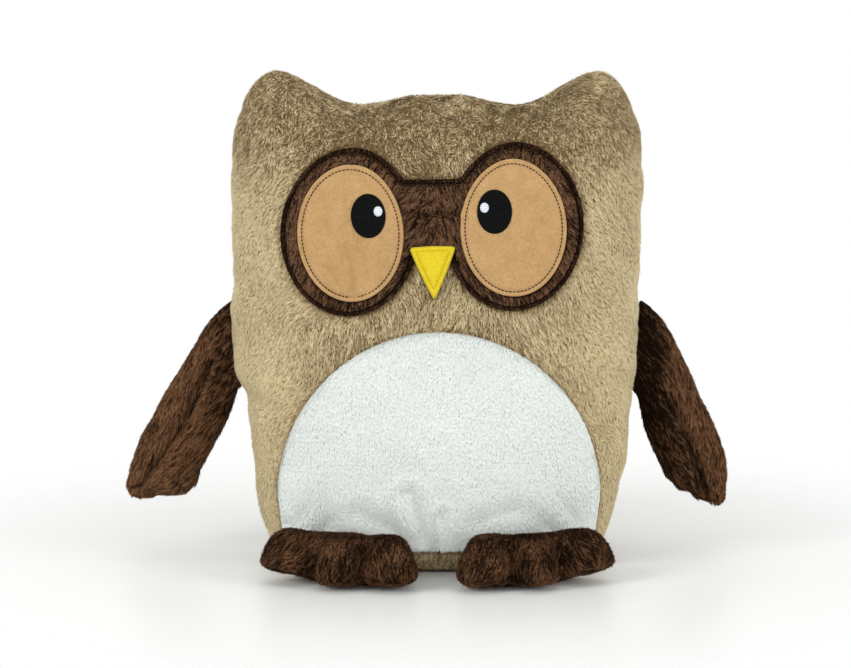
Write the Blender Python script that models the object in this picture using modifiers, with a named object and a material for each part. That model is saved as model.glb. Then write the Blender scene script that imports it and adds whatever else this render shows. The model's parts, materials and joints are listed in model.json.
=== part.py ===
# Plush owl: a sewn, stuffed toy with a flat base, two wings and two three-toed feet.
# Metres, +Z up, front towards -Y. The origin is the middle of the flat base.
import math

import bmesh
import bpy
from mathutils import Matrix, Vector
from mathutils.bvhtree import BVHTree

MM = 0.001

# What all pieces share
CLEARANCE = 0.3 * MM
OVERRUN = 6 * MM
FLAT_CUT = 0.5 * MM
FORM_LEVELS = 1

# The body: a boxy cushion whose top corners are the ears
BODY_WIDTH = 215 * MM
BODY_DEPTH = 118 * MM
BODY_HEIGHT = 256.5 * MM
PLUSH_THICKNESS = 3 * MM
BASE_SEAM_HEIGHT = 7 * MM
BODY_SECTION_EXPONENT = 3.0
BASE_RING_SHARE = 0.1
COLUMN_SHARES = (0, 0.21, 0.45, 0.66, 0.87, 1)
TOP_SEAM_SHARES = (0.962, 0.950, 0.926, 0.98, 1.022, 0.965)
ROW_SHARES = (0, 0.07, 0.2, 0.36, 0.53, 0.7, 0.84, 0.94, 1)
ROW_WIDTH_SHARES = (0.76, 0.85, 0.91, 0.95, 0.975, 0.99, 1.005, 0.945, 0.845)
ROW_DEPTH_SHARES = (0.8, 0.9, 0.97, 1, 0.985, 0.93, 0.78, 0.47, 0)

# The face: all its places are measured from the face centre, along the tilted face
FACE_HEIGHT = 179.2 * MM
FACE_SHIFT = -2.7 * MM
FACE_TILT = math.radians(1.9)
OUTLINE_STEPS = 40

MASK_THICKNESS = 2.5 * MM
MASK_LOBE_WIDTH = 70.5 * MM
MASK_LOBE_HEIGHT = 83.5 * MM
MASK_LOBE_LEAN = math.radians(6)
MASK_LOBE_SPACING = 84.5 * MM
MASK_BRIDGE_HEIGHT = 38 * MM
MASK_BRIDGE_RISE = 6.8 * MM

EYE_WIDTH = 54.4 * MM
EYE_HEIGHT = 68.4 * MM
EYE_SPACING = 83.2 * MM
FELT_THICKNESS = 1.5 * MM

PUPIL_WIDTH = 17.9 * MM
PUPIL_HEIGHT = 22.2 * MM
PUPIL_INSET = 9.4 * MM
PUPIL_RISE = 9.1 * MM
PUPIL_THICKNESS = 1.2 * MM
PUPIL_STEPS = 28

GLINT_WIDTH = 4.7 * MM
GLINT_HEIGHT = 5.2 * MM
GLINT_INSET = 5.1 * MM
GLINT_RISE = 2.3 * MM
GLINT_THICKNESS = 1 * MM
GLINT_STEPS = 16

BEAK_WIDTH = 24.4 * MM
BEAK_LENGTH = 27.6 * MM
BEAK_DROP = 7.3 * MM
BEAK_CORNER_RADIUS = 2 * MM
BEAK_THICKNESS = 3.2 * MM
BEAK_CORNER_STEPS = 4

# The belly patch: a dome over two nearly straight sides
BELLY_WIDTH = 166 * MM
BELLY_HEIGHT = 115 * MM
BELLY_BOTTOM = 13 * MM
BELLY_STRAIGHT = 26 * MM
BELLY_TAPER = 3 * MM
BELLY_SHIFT = 1 * MM
BELLY_THICKNESS = 3 * MM

# The wings: flat lobes sewn into the side seams along their inner edge
WING_ROOT_HEIGHT = 141.5 * MM
LEFT_WING_REACH = 61.5 * MM
LEFT_WING_DROP = 107.5 * MM
RIGHT_WING_REACH = 51.5 * MM
RIGHT_WING_DROP = 110.5 * MM
WING_THICKNESS = 25 * MM
WING_BEAD_RADIUS = 2.2 * MM
WING_ROOT_SHARE = 0.482
WING_ROW_SHARES = (0, 0.12, 0.3, 0.48, 0.64, 0.79, 0.91, 1)
WING_LEAD_REACH_SHARES = (0, 0.19, 0.41, 0.61, 0.81, 0.965, 1.055, 0.95)
WING_LEAD_DROP_SHARES = (0, 0.092, 0.265, 0.421, 0.587, 0.738, 0.879, 0.955)
WING_TRAIL_REACH_SHARES = (0, 0.02, 0.055, 0.14, 0.23, 0.31, 0.4, 0.53)
WING_TRAIL_DROP_SHARES = (0.492, 0.549, 0.619, 0.694, 0.779, 0.858, 0.93, 0.975)
WING_ROW_THICKNESS_SHARES = (0.17, 0.46, 0.8, 0.98, 1, 0.92, 0.68, 0)
WING_COLUMN_THICKNESS_SHARES = (0, 0.86, 1, 0.86, 0)
WING_TIP_BULGE_SHARE = 0.012
WING_FULLNESS_SHARES = (0.3, 1, 1, 1, 1, 0.8, -0.2, -0.8)
LEFT_WING_FULLNESS_SHARE = 0
RIGHT_WING_FULLNESS_SHARE = 0.065
WING_TIP_SLANT_SHARES = (0, 0, 0, 0, 0.05, 0.3, 0.65, 1)
LEFT_WING_SLANT_SHARE = 0.01
RIGHT_WING_SLANT_SHARE = 0.11
WING_CORE_ROW_SHARES = (0.17, 0.3, 0.48, 0.66, 0.8, 0.9)
WING_CORE_COLUMN_SHARES = (0.13, 0.3, 0.5, 0.7, 0.87)
WING_CORE_COLUMN_THICKNESS_SHARES = (0, 0.82, 1, 0.82, 0)

# The feet: flat pads with three toes, sewn into the base seam along the heel
FOOT_LENGTH = 50 * MM
FOOT_WIDTH = 83 * MM
FOOT_THICKNESS = 28 * MM
FOOT_SPACING = 35.5 * MM
FOOT_SPLAY = math.radians(10)
FOOT_BEAD_RADIUS = 2.2 * MM
BEAD_LEVELS = 4
TOE_COUNT = 3
TOE_CELLS = 4
TOE_REACH_SHARES = (0.96, 1.0, 0.74)
TOE_NOTCH_SHARE = 0.2
TOE_GROOVE_SHARE = 0.22
TOE_LIFT_SHARES = (0.3, 0.25, 0.8)
OUTER_TOE_RISE = 5 * MM
OUTER_TOE_START = 0.33
FOOT_ROW_SHARES = (0, 0.16, 0.34, 0.56, 0.8, 1)
FOOT_ROW_WIDTH_SHARES = (0.56, 0.62, 0.76, 0.93, 1.0, 0.97)
FOOT_ROW_TOP_SHARES = (0.1, 0.42, 0.86, 1, 0.82, 0)
FOOT_ROW_SOLE_SHARES = (0.3, 0.9, 1, 0.97, 0.7, 0)
FOOT_CORE_ROW_SHARES = (0.24, 0.36, 0.56, 0.7, 0.8)
FOOT_CORE_COLUMN_SHARES = (-0.8, -0.6, -0.33, 0, 0.33, 0.6, 0.8)


# Helpers for scene, collections and materials
def clear_scene():
    for item in list(bpy.data.objects):
        bpy.data.objects.remove(item, do_unlink=True)


def new_collection(name):
    collection = bpy.data.collections.new(name)
    bpy.context.scene.collection.children.link(collection)
    return collection


def make_material(name, red, green, blue, roughness):
    material = bpy.data.materials.new(name)
    material.use_nodes = True
    shader = material.node_tree.nodes["Principled BSDF"]
    shader.inputs["Base Color"].default_value = (red, green, blue, 1)
    shader.inputs["Roughness"].default_value = roughness
    shader.inputs["Metallic"].default_value = 0
    return material


def add_object(name, mesh, collection, material=None):
    item = bpy.data.objects.new(name, mesh)
    collection.objects.link(item)
    if material:
        mesh.materials.clear()
        mesh.materials.append(material)
        mesh.shade_smooth()
        mesh.set_sharp_from_angle(angle=math.radians(50))
    return item


def add_cutter(name, mesh):
    item = add_object(name, mesh, cutters)
    item.hide_render = True
    item.display_type = "WIRE"
    return item


def evaluated_mesh(item):
    bpy.context.view_layer.update()
    graph = bpy.context.evaluated_depsgraph_get()
    return bpy.data.meshes.new_from_object(item.evaluated_get(graph))


def add_boolean(item, operation, cutter):
    modifier = item.modifiers.new(operation.title() + " " + cutter.name, "BOOLEAN")
    modifier.operation = operation
    modifier.solver = "EXACT"
    modifier.object = cutter


# Soft forms: a coarse cage, smoothed by subdivision and triangulated once
def smooth_form(name, cage):
    mesh = bpy.data.meshes.new(name)
    bmesh.ops.recalc_face_normals(cage, faces=cage.faces)
    if cage.calc_volume(signed=True) < 0:
        bmesh.ops.reverse_faces(cage, faces=cage.faces)
    cage.to_mesh(mesh)
    cage.free()
    item = add_object(name, mesh, cutters)
    modifier = item.modifiers.new("Subdivision", "SUBSURF")
    modifier.levels = FORM_LEVELS
    modifier.render_levels = FORM_LEVELS
    smoothed = evaluated_mesh(item)
    bpy.data.objects.remove(item, do_unlink=True)
    shape = bmesh.new()
    shape.from_mesh(smoothed)
    bmesh.ops.triangulate(shape, faces=shape.faces)
    shape.to_mesh(smoothed)
    shape.free()
    return smoothed


def offset_mesh(name, source, distance):
    shape = bmesh.new()
    shape.from_mesh(source)
    shape.normal_update()
    moves = [vert.normal * distance for vert in shape.verts]
    for vert, move in zip(shape.verts, moves):
        vert.co += move
    mesh = bpy.data.meshes.new(name)
    shape.to_mesh(mesh)
    shape.free()
    return mesh


def add_sheet(cage, columns, rows, place):
    made = bmesh.ops.create_grid(cage, x_segments=columns, y_segments=rows, size=1)
    for vert in made["verts"]:
        column = round((vert.co.x + 1) / 2 * columns)
        row = round((vert.co.y + 1) / 2 * rows)
        vert.co = place(column, row)


def box_cutter(name, low, high):
    shape = bmesh.new()
    bmesh.ops.create_cube(shape, size=1)
    middle = (Vector(low) + Vector(high)) / 2
    spans = Vector(high) - Vector(low)
    for vert in shape.verts:
        vert.co = middle + Vector(a * b for a, b in zip(vert.co, spans))
    mesh = bpy.data.meshes.new(name)
    shape.to_mesh(mesh)
    shape.free()
    return add_cutter(name, mesh)


# Body form: two sheets that meet in the side and top seams, over a flat base
def body_place(front):
    last = len(COLUMN_SHARES) - 1

    def place(column, row):
        step = column - last
        share = COLUMN_SHARES[abs(step)]
        across = math.copysign(share, step)
        depth = (1 - share**BODY_SECTION_EXPONENT) ** (1 / BODY_SECTION_EXPONENT)
        x = across * ROW_WIDTH_SHARES[row]
        y = depth * ROW_DEPTH_SHARES[row] * (-1 if front else 1)
        return Vector((x, y, TOP_SEAM_SHARES[abs(step)] * ROW_SHARES[row]))

    return place


def body_mesh():
    cage = bmesh.new()
    columns = 2 * (len(COLUMN_SHARES) - 1)
    rows = len(ROW_SHARES) - 1
    add_sheet(cage, columns, rows, body_place(True))
    add_sheet(cage, columns, rows, body_place(False))
    bmesh.ops.remove_doubles(cage, verts=cage.verts, dist=CLEARANCE)
    rim = [edge for edge in cage.edges if edge.is_boundary]
    base = bmesh.ops.contextual_create(cage, geom=rim)["faces"]
    bmesh.ops.inset_region(cage, faces=base, thickness=BASE_RING_SHARE, use_even_offset=False)
    mesh = smooth_form("Body form", cage)
    xs = [abs(vert.co.x) for vert in mesh.vertices]
    ys = [abs(vert.co.y) for vert in mesh.vertices]
    zs = [vert.co.z for vert in mesh.vertices]
    rise = (BODY_HEIGHT + FLAT_CUT) / (max(zs) - min(zs))
    for vert in mesh.vertices:
        vert.co.x *= BODY_WIDTH / 2 / max(xs)
        vert.co.y *= BODY_DEPTH / 2 / max(ys)
        vert.co.z = (vert.co.z - min(zs)) * rise - FLAT_CUT
    return mesh


def surface_hit(start, heading):
    spot = body_tree.ray_cast(start, heading)[0]
    return spot


def side_spot(height):
    return surface_hit(Vector((BODY_WIDTH, 0, height)), Vector((-1, 0, 0)))


# Panels of the body: the hollow form, cut apart at its seams
def build_body():
    wide = BODY_WIDTH / 2 + OVERRUN
    deep = BODY_DEPTH / 2 + OVERRUN
    tall = BODY_HEIGHT + OVERRUN
    half_gap = CLEARANCE / 2
    seam_low = BASE_SEAM_HEIGHT - half_gap
    seam_high = BASE_SEAM_HEIGHT + half_gap
    hollow = add_cutter("Body hollow", offset_mesh("Body hollow", body_form, -PLUSH_THICKNESS))
    boxes = {
        "body_front_panel": box_cutter("Front side", (-wide, -deep, seam_high), (wide, -half_gap, tall)),
        "body_back_panel": box_cutter("Back side", (-wide, half_gap, seam_high), (wide, deep, tall)),
        "base_panel": box_cutter("Base side", (-wide, -deep, 0), (wide, deep, seam_low)),
    }
    for name, box in boxes.items():
        panel = add_object(name, offset_mesh(name, body_form, 0), owl, tan_plush)
        add_boolean(panel, "INTERSECT", box)
        add_boolean(panel, "DIFFERENCE", hollow)
    filling = offset_mesh("body_stuffing", body_form, -PLUSH_THICKNESS - CLEARANCE)
    add_object("body_stuffing", filling, owl, fibre)


# Outlines of the patches, drawn on the front and pushed through the body
def oval_points(width, height, steps, lean=0):
    points = []
    for step in range(steps):
        angle = step / steps * math.tau
        spot = Matrix.Rotation(lean, 2) @ Vector(
            (width / 2 * math.cos(angle), height / 2 * math.sin(angle))
        )
        points.append(spot)
    return points


def rounded_points(corners, radii, steps):
    points = []
    for index, corner in enumerate(corners):
        before = (corners[index - 1] - corner).normalized()
        after = (corners[(index + 1) % len(corners)] - corner).normalized()
        half = before.angle(after) / 2
        reach = radii[index] / math.tan(half)
        middle = corner + (before + after).normalized() * radii[index] / math.sin(half)
        start = corner + before * reach - middle
        end = corner + after * reach - middle
        for step in range(steps + 1):
            share = step / steps
            spot = start.lerp(end, share).normalized() * radii[index]
            points.append(middle + spot)
    return points


def on_face(points, across=0, up=0):
    turn = Matrix.Rotation(FACE_TILT, 2)
    centre = Vector((FACE_SHIFT, FACE_HEIGHT))
    return [centre + turn @ (spot + Vector((across, up))) for spot in points]


def pushed_outline(name, points):
    curve = bpy.data.curves.new(name, "CURVE")
    curve.dimensions = "2D"
    curve.fill_mode = "BOTH"
    deep = BODY_DEPTH / 2 + OVERRUN
    curve.extrude = deep / 2
    spline = curve.splines.new("POLY")
    spline.points.add(len(points) - 1)
    for slot, spot in zip(spline.points, points):
        slot.co = (spot.x, spot.y, 0, 1)
    spline.use_cyclic_u = True
    item = bpy.data.objects.new(name, curve)
    cutters.objects.link(item)
    item.rotation_euler.x = math.pi / 2
    item.location.y = -deep / 2
    mesh = evaluated_mesh(item)
    mesh.transform(item.matrix_world)
    bpy.data.objects.remove(item, do_unlink=True)
    shape = bmesh.new()
    shape.from_mesh(mesh)
    bmesh.ops.remove_doubles(shape, verts=shape.verts, dist=CLEARANCE / 10)
    bmesh.ops.recalc_face_normals(shape, faces=shape.faces)
    shape.to_mesh(mesh)
    shape.free()
    return mesh


def skin_at(level):
    key = round(level / MM, 3)
    if key not in skins:
        label = f"Skin at {key} mm"
        skins[key] = add_cutter(label, offset_mesh(label, body_form, level))
    return skins[key]


# A patch is its outline kept between two skins that follow the body
def add_patch(name, outline, low, thickness, material):
    patch = add_object(name, outline, owl, material)
    add_boolean(patch, "INTERSECT", skin_at(low + thickness))
    add_boolean(patch, "DIFFERENCE", skin_at(low))
    return patch


def mask_outline(grown):
    centre_lift = MASK_BRIDGE_RISE
    lobes = []
    for side in (-1, 1):
        oval = oval_points(
            MASK_LOBE_WIDTH + 2 * grown, MASK_LOBE_HEIGHT + 2 * grown, OUTLINE_STEPS, -MASK_LOBE_LEAN
        )
        placed = on_face(oval, side * MASK_LOBE_SPACING / 2)
        lobes.append(add_cutter("Mask lobe", pushed_outline("Mask lobe", placed)))
    half_span = MASK_LOBE_SPACING / 4
    half_tall = MASK_BRIDGE_HEIGHT / 2 + grown
    corners = [
        Vector((-half_span, -half_tall)),
        Vector((half_span, -half_tall)),
        Vector((half_span, half_tall)),
        Vector((-half_span, half_tall)),
    ]
    bridge_mesh = pushed_outline("Mask bridge", on_face(corners, 0, centre_lift))
    bridge = add_object("Mask bridge", bridge_mesh, cutters)
    add_boolean(bridge, "UNION", lobes[0])
    add_boolean(bridge, "UNION", lobes[1])
    joined = evaluated_mesh(bridge)
    for item in (bridge, lobes[0], lobes[1]):
        bpy.data.objects.remove(item, do_unlink=True)
    return joined


def build_face():
    mask_top = CLEARANCE + MASK_THICKNESS
    eye_low = mask_top + CLEARANCE
    pupil_low = eye_low + FELT_THICKNESS + CLEARANCE
    glint_low = pupil_low + PUPIL_THICKNESS + CLEARANCE
    add_patch("mask_patch", mask_outline(0), CLEARANCE, MASK_THICKNESS, brown_plush)
    for side, word in ((-1, "left"), (1, "right")):
        middle = side * EYE_SPACING / 2
        oval = on_face(oval_points(EYE_WIDTH, EYE_HEIGHT, OUTLINE_STEPS), middle)
        outline = pushed_outline("eye_" + word, oval)
        add_patch("eye_" + word, outline, eye_low, FELT_THICKNESS, tan_felt)
        middle -= side * PUPIL_INSET
        oval = on_face(oval_points(PUPIL_WIDTH, PUPIL_HEIGHT, PUPIL_STEPS), middle, PUPIL_RISE)
        outline = pushed_outline("pupil_" + word, oval)
        add_patch("pupil_" + word, outline, pupil_low, PUPIL_THICKNESS, black_felt)
        middle -= side * GLINT_INSET
        rise = PUPIL_RISE + GLINT_RISE
        oval = on_face(oval_points(GLINT_WIDTH, GLINT_HEIGHT, GLINT_STEPS), middle, rise)
        outline = pushed_outline("glint_" + word, oval)
        add_patch("glint_" + word, outline, glint_low, GLINT_THICKNESS, white_thread)
    build_beak(mask_top)


# The beak lies on the mask above and reaches down to the body below it
def build_beak(mask_top):
    top = -BEAK_DROP
    corners = [
        Vector((-BEAK_WIDTH / 2, top)),
        Vector((0, top - BEAK_LENGTH)),
        Vector((BEAK_WIDTH / 2, top)),
    ]
    radii = [BEAK_CORNER_RADIUS] * len(corners)
    points = on_face(rounded_points(corners, radii, BEAK_CORNER_STEPS))
    outline = pushed_outline("beak", points)
    beak = add_patch("beak", outline, CLEARANCE, mask_top + BEAK_THICKNESS, yellow_felt)
    hollow = add_cutter("Mask room", mask_outline(CLEARANCE))
    add_boolean(hollow, "INTERSECT", skin_at(mask_top + CLEARANCE))
    add_boolean(beak, "DIFFERENCE", hollow)


def belly_outline():
    half = BELLY_WIDTH / 2
    centre = BELLY_BOTTOM + BELLY_STRAIGHT
    dome = BELLY_HEIGHT - BELLY_STRAIGHT
    points = []
    for step in range(OUTLINE_STEPS + 1):
        angle = step / OUTLINE_STEPS * math.pi
        points.append(Vector((BELLY_SHIFT + half * math.cos(angle), centre + dome * math.sin(angle))))
    points.append(Vector((BELLY_SHIFT - half + BELLY_TAPER, BELLY_BOTTOM)))
    points.append(Vector((BELLY_SHIFT + half - BELLY_TAPER, BELLY_BOTTOM)))
    return points


def build_belly():
    outline = pushed_outline("belly_patch", belly_outline())
    add_patch("belly_patch", outline, CLEARANCE, BELLY_THICKNESS, white_plush)


# A limb's form is two sheets welded along their rim, in the frame of its hinge
def limb_mesh(name, columns, rows, near, far):
    cage = bmesh.new()
    add_sheet(cage, columns, rows, near)
    add_sheet(cage, columns, rows, far)
    bmesh.ops.remove_doubles(cage, verts=cage.verts, dist=CLEARANCE / 10)
    return smooth_form(name, cage)


# Subdivision draws a cage in, so a form is stretched back to its stated reach on each side
def stretch_form(mesh, axis, low, high):
    values = [vert.co[axis] for vert in mesh.vertices]
    low_scale = low / min(values) if low else 1
    high_scale = high / max(values) if high else 1
    for vert in mesh.vertices:
        vert.co[axis] *= low_scale if vert.co[axis] < 0 else high_scale


def between(shares, values, share):
    for index in range(len(shares) - 1):
        if share <= shares[index + 1]:
            part = (share - shares[index]) / (shares[index + 1] - shares[index])
            return values[index] * (1 - part) + values[index + 1] * part
    return values[-1]


# Wing outline in its own plane: across from the hinge and down along it.
# The slant cuts the tip back at its inner corner
def wing_spot(reach, drop, slant, fullness, row_share, column_share):
    lead_x = between(WING_ROW_SHARES, WING_LEAD_REACH_SHARES, row_share)
    lead_x += fullness * between(WING_ROW_SHARES, WING_FULLNESS_SHARES, row_share)
    lead_z = between(WING_ROW_SHARES, WING_LEAD_DROP_SHARES, row_share)
    trail_x = between(WING_ROW_SHARES, WING_TRAIL_REACH_SHARES, row_share)
    trail_z = between(WING_ROW_SHARES, WING_TRAIL_DROP_SHARES, row_share)
    x = lead_x * (1 - column_share) + trail_x * column_share
    z = lead_z * (1 - column_share) + trail_z * column_share
    z -= slant * column_share * between(WING_ROW_SHARES, WING_TIP_SLANT_SHARES, row_share)
    return reach * x, -drop * z


def wing_sheet(side, reach, drop, slant, fullness, facing):
    rows = len(WING_ROW_SHARES) - 1
    columns = len(WING_COLUMN_THICKNESS_SHARES) - 1

    def place(column, row):
        share = column / columns
        if row == 0:
            return Vector((-side * WING_BEAD_RADIUS, 0, -drop * WING_ROOT_SHARE * share))
        x, z = wing_spot(reach, drop, slant, fullness, WING_ROW_SHARES[row - 1], share)
        if row == rows + 1 and column == columns / 2:
            x += reach * WING_TIP_BULGE_SHARE
            z -= drop * WING_TIP_BULGE_SHARE
        thick = WING_ROW_THICKNESS_SHARES[row - 1] * WING_COLUMN_THICKNESS_SHARES[column]
        return Vector((side * x, facing * thick * WING_THICKNESS / 2, z))

    return place, columns, rows + 1


def wing_core_sheet(side, reach, drop, slant, fullness, facing):
    columns = len(WING_CORE_COLUMN_SHARES) - 1
    rows = len(WING_CORE_ROW_SHARES) - 1

    def place(column, row):
        row_share = WING_CORE_ROW_SHARES[row]
        x, z = wing_spot(reach, drop, slant, fullness, row_share, WING_CORE_COLUMN_SHARES[column])
        inside = 0 < column < columns and 0 < row < rows
        full = between(WING_ROW_SHARES, WING_ROW_THICKNESS_SHARES, row_share) * WING_THICKNESS / 2
        full *= WING_CORE_COLUMN_THICKNESS_SHARES[column]
        thick = max(full - PLUSH_THICKNESS, 0) if inside else 0
        return Vector((side * x, facing * thick, z))

    return place, columns, rows


def limb_panels(names, form, core, boxes, material, holder):
    hollow = add_cutter("Hollow " + names[0], offset_mesh("Hollow", core, CLEARANCE))
    hollow.parent = holder
    for name, box in zip(names, boxes):
        panel = add_object(name, offset_mesh(name, form, 0), owl, material)
        panel.parent = holder
        box.parent = holder
        add_boolean(panel, "INTERSECT", box)
        add_boolean(panel, "DIFFERENCE", hollow)


def add_holder(name, location, rotation):
    holder = bpy.data.objects.new(name, None)
    owl.objects.link(holder)
    holder.rotation_mode = "XYZ"
    holder.location = location
    holder.rotation_euler = rotation
    return holder


# The heel or root bead is the part of a limb that lies behind its hinge line
def bead_reach(mesh, back):
    return max(vert.co.dot(back) for vert in mesh.vertices)


# The hinge line of a wing runs down the side seam, just outside the body
def build_wing(side, word, reach, drop, slant, fullness):
    root_length = drop * WING_ROOT_SHARE
    top = side_spot(WING_ROOT_HEIGHT)
    low = side_spot(WING_ROOT_HEIGHT - root_length)
    lean = math.atan2(top.x - low.x, top.z - low.z)
    out = Vector((math.cos(lean), 0, -math.sin(lean)))
    steps = len(WING_ROW_SHARES)
    bulge = 0
    for step in range(-1, steps + 2):
        height = WING_ROOT_HEIGHT - root_length * step / steps
        bulge = max(bulge, (side_spot(height) - top).dot(out))
    columns, rows = 0, 0
    sheets = []
    cores = []
    for facing in (-1, 1):
        place, columns, rows = wing_sheet(side, reach, drop, slant, fullness, facing)
        sheets.append(place)
    form = limb_mesh("Wing form", columns, rows, sheets[0], sheets[1])
    stretch_form(form, 0, -reach if side < 0 else 0, reach if side > 0 else 0)
    stretch_form(form, 1, -WING_THICKNESS / 2, WING_THICKNESS / 2)
    stretch_form(form, 2, -drop, 0)
    pivot = top + out * (bulge + CLEARANCE + bead_reach(form, Vector((-side, 0, 0))))
    location = (side * pivot.x, 0, pivot.z)
    holder = add_holder(f"wing_{word}_hinge", location, (0, side * lean, 0))
    for facing in (-1, 1):
        place, columns, rows = wing_core_sheet(side, reach, drop, slant, fullness, facing)
        cores.append(place)
    core = limb_mesh("Wing core", columns, rows, cores[0], cores[1])
    wide = 2 * reach
    tall = 2 * drop
    deep = WING_THICKNESS
    half_gap = CLEARANCE / 2
    boxes = (
        box_cutter("Wing front side", (-wide, -deep, -tall), (wide, -half_gap, tall)),
        box_cutter("Wing back side", (-wide, half_gap, -tall), (wide, deep, tall)),
    )
    names = (f"wing_{word}_front_panel", f"wing_{word}_back_panel")
    limb_panels(names, form, core, boxes, brown_plush, holder)
    filling = add_object(f"wing_{word}_stuffing", core, owl, fibre)
    filling.parent = holder
    axis = Matrix.Rotation(side * lean, 3, "Y") @ Vector((0, 0, -side))
    print(holder.name, "pivot", [round(value, 6) for value in location])
    print(holder.name, "axis", [round(value, 6) for value in axis])


# Toe outline: each toe is a half oval between two notches
def toe_share(across):
    spot = (across + 1) / 2 * TOE_COUNT
    index = min(int(spot), TOE_COUNT - 1)
    middle = 2 * (spot - index) - 1
    return index, math.sqrt(max(1 - middle * middle, 0))


def foot_spot(across, row_share):
    index, toe = toe_share(across)
    lobe = TOE_REACH_SHARES[index] * (1 - TOE_NOTCH_SHARE * (1 - toe))
    forward = row_share * FOOT_LENGTH * (1 + (lobe - 1) * row_share)
    x = across * between(FOOT_ROW_SHARES, FOOT_ROW_WIDTH_SHARES, row_share) * FOOT_WIDTH / 2
    groove = 1 - TOE_GROOVE_SHARE * (1 - toe) * row_share
    return x, forward, groove


# A toe that curls up leaves the floor towards its tip
def toe_lift(across, row_share):
    index, toe = toe_share(across)
    return TOE_LIFT_SHARES[index] * toe * row_share


# The outer toe also climbs from the next toe to its own rim
def outer_rise(across, row_share):
    climb = max(across - OUTER_TOE_START, 0) / (1 - OUTER_TOE_START)
    return OUTER_TOE_RISE * climb * row_share


def foot_sheet(side, top):
    rows = len(FOOT_ROW_SHARES) - 1
    columns = TOE_COUNT * TOE_CELLS

    def place(column, row):
        across = 2 * column / columns - 1
        if row == 0:
            x = across * FOOT_ROW_WIDTH_SHARES[0] * FOOT_WIDTH / 2
            return Vector((side * x, FOOT_BEAD_RADIUS, 0))
        row_share = FOOT_ROW_SHARES[row - 1]
        x, forward, groove = foot_spot(across, row_share)
        rim = column == 0 or column == columns
        above = FOOT_ROW_TOP_SHARES[row - 1] * (FOOT_THICKNESS - BASE_SEAM_HEIGHT) * groove
        below = FOOT_ROW_SOLE_SHARES[row - 1] * (BASE_SEAM_HEIGHT + FLAT_CUT)
        below *= 1 - toe_lift(across, row_share)
        z = 0 if rim else (above if top else -below)
        return Vector((side * x, -forward, z + outer_rise(across, row_share)))

    return place, columns, rows + 1


def foot_core_sheet(side, top):
    columns = len(FOOT_CORE_COLUMN_SHARES) - 1
    rows = len(FOOT_CORE_ROW_SHARES) - 1

    def place(column, row):
        row_share = FOOT_CORE_ROW_SHARES[row]
        across = FOOT_CORE_COLUMN_SHARES[column]
        x, forward, groove = foot_spot(across, row_share)
        inside = 0 < column < columns and 0 < row < rows
        full = between(FOOT_ROW_SHARES, FOOT_ROW_TOP_SHARES, row_share) * groove
        above = max(full * (FOOT_THICKNESS - BASE_SEAM_HEIGHT) - PLUSH_THICKNESS, 0)
        lift = toe_lift(across, row_share)
        below = max(BASE_SEAM_HEIGHT * (1 - lift) - PLUSH_THICKNESS, 0)
        z = (above if top else -below) if inside else 0
        return Vector((side * x, -forward, z + outer_rise(across, row_share)))

    return place, columns, rows


# The hinge line of a foot runs along the base seam, just in front of the body
def build_foot(side, word):
    turn = Matrix.Rotation(side * FOOT_SPLAY, 3, "Z")
    ahead = turn @ Vector((0, -1, 0))
    along = turn @ Vector((1, 0, 0))
    heel_half = FOOT_WIDTH / 2 * FOOT_ROW_WIDTH_SHARES[0]
    middle = Vector((side * FOOT_SPACING, 0, BASE_SEAM_HEIGHT))
    far = middle + ahead * BODY_DEPTH
    sheets = []
    cores = []
    columns, rows = 0, 0
    for top in (True, False):
        place, columns, rows = foot_sheet(side, top)
        sheets.append(place)
    form = limb_mesh("Foot form", columns, rows, sheets[0], sheets[1])
    stretch_form(form, 0, -FOOT_WIDTH / 2, FOOT_WIDTH / 2)
    stretch_form(form, 1, -FOOT_LENGTH, 0)
    stretch_form(form, 2, -BASE_SEAM_HEIGHT - FLAT_CUT, FOOT_THICKNESS - BASE_SEAM_HEIGHT)
    bead = bead_reach(form, Vector((0, 1, 0)))
    steps = TOE_COUNT * TOE_CELLS
    nearest = BODY_DEPTH
    for level in range(-BEAD_LEVELS, BEAD_LEVELS + 1):
        rise = level / BEAD_LEVELS
        for step in range(-steps, steps + 1):
            start = far + along * heel_half * step / steps
            start.z += rise * bead
            spot = surface_hit(start, -ahead)
            nearest = min(nearest, (start - spot).dot(ahead) - bead * math.sqrt(1 - rise * rise))
    pivot = far - ahead * (nearest - CLEARANCE)
    holder = add_holder(f"foot_{word}_hinge", pivot, (0, 0, side * FOOT_SPLAY))
    for top in (True, False):
        place, columns, rows = foot_core_sheet(side, top)
        cores.append(place)
    core = limb_mesh("Foot core", columns, rows, cores[0], cores[1])
    wide = FOOT_WIDTH
    half_gap = CLEARANCE / 2
    boxes = (
        box_cutter("Foot top side", (-wide, -2 * FOOT_LENGTH, half_gap), (wide, wide, FOOT_THICKNESS)),
        box_cutter("Foot sole side", (-wide, -2 * FOOT_LENGTH, -BASE_SEAM_HEIGHT), (wide, wide, -half_gap)),
    )
    names = (f"foot_{word}_top_panel", f"foot_{word}_sole_panel")
    limb_panels(names, form, core, boxes, brown_plush, holder)
    filling = add_object(f"foot_{word}_stuffing", core, owl, fibre)
    filling.parent = holder
    print(holder.name, "pivot", [round(value, 6) for value in pivot])
    print(holder.name, "axis", [round(-value, 6) for value in along])


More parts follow.
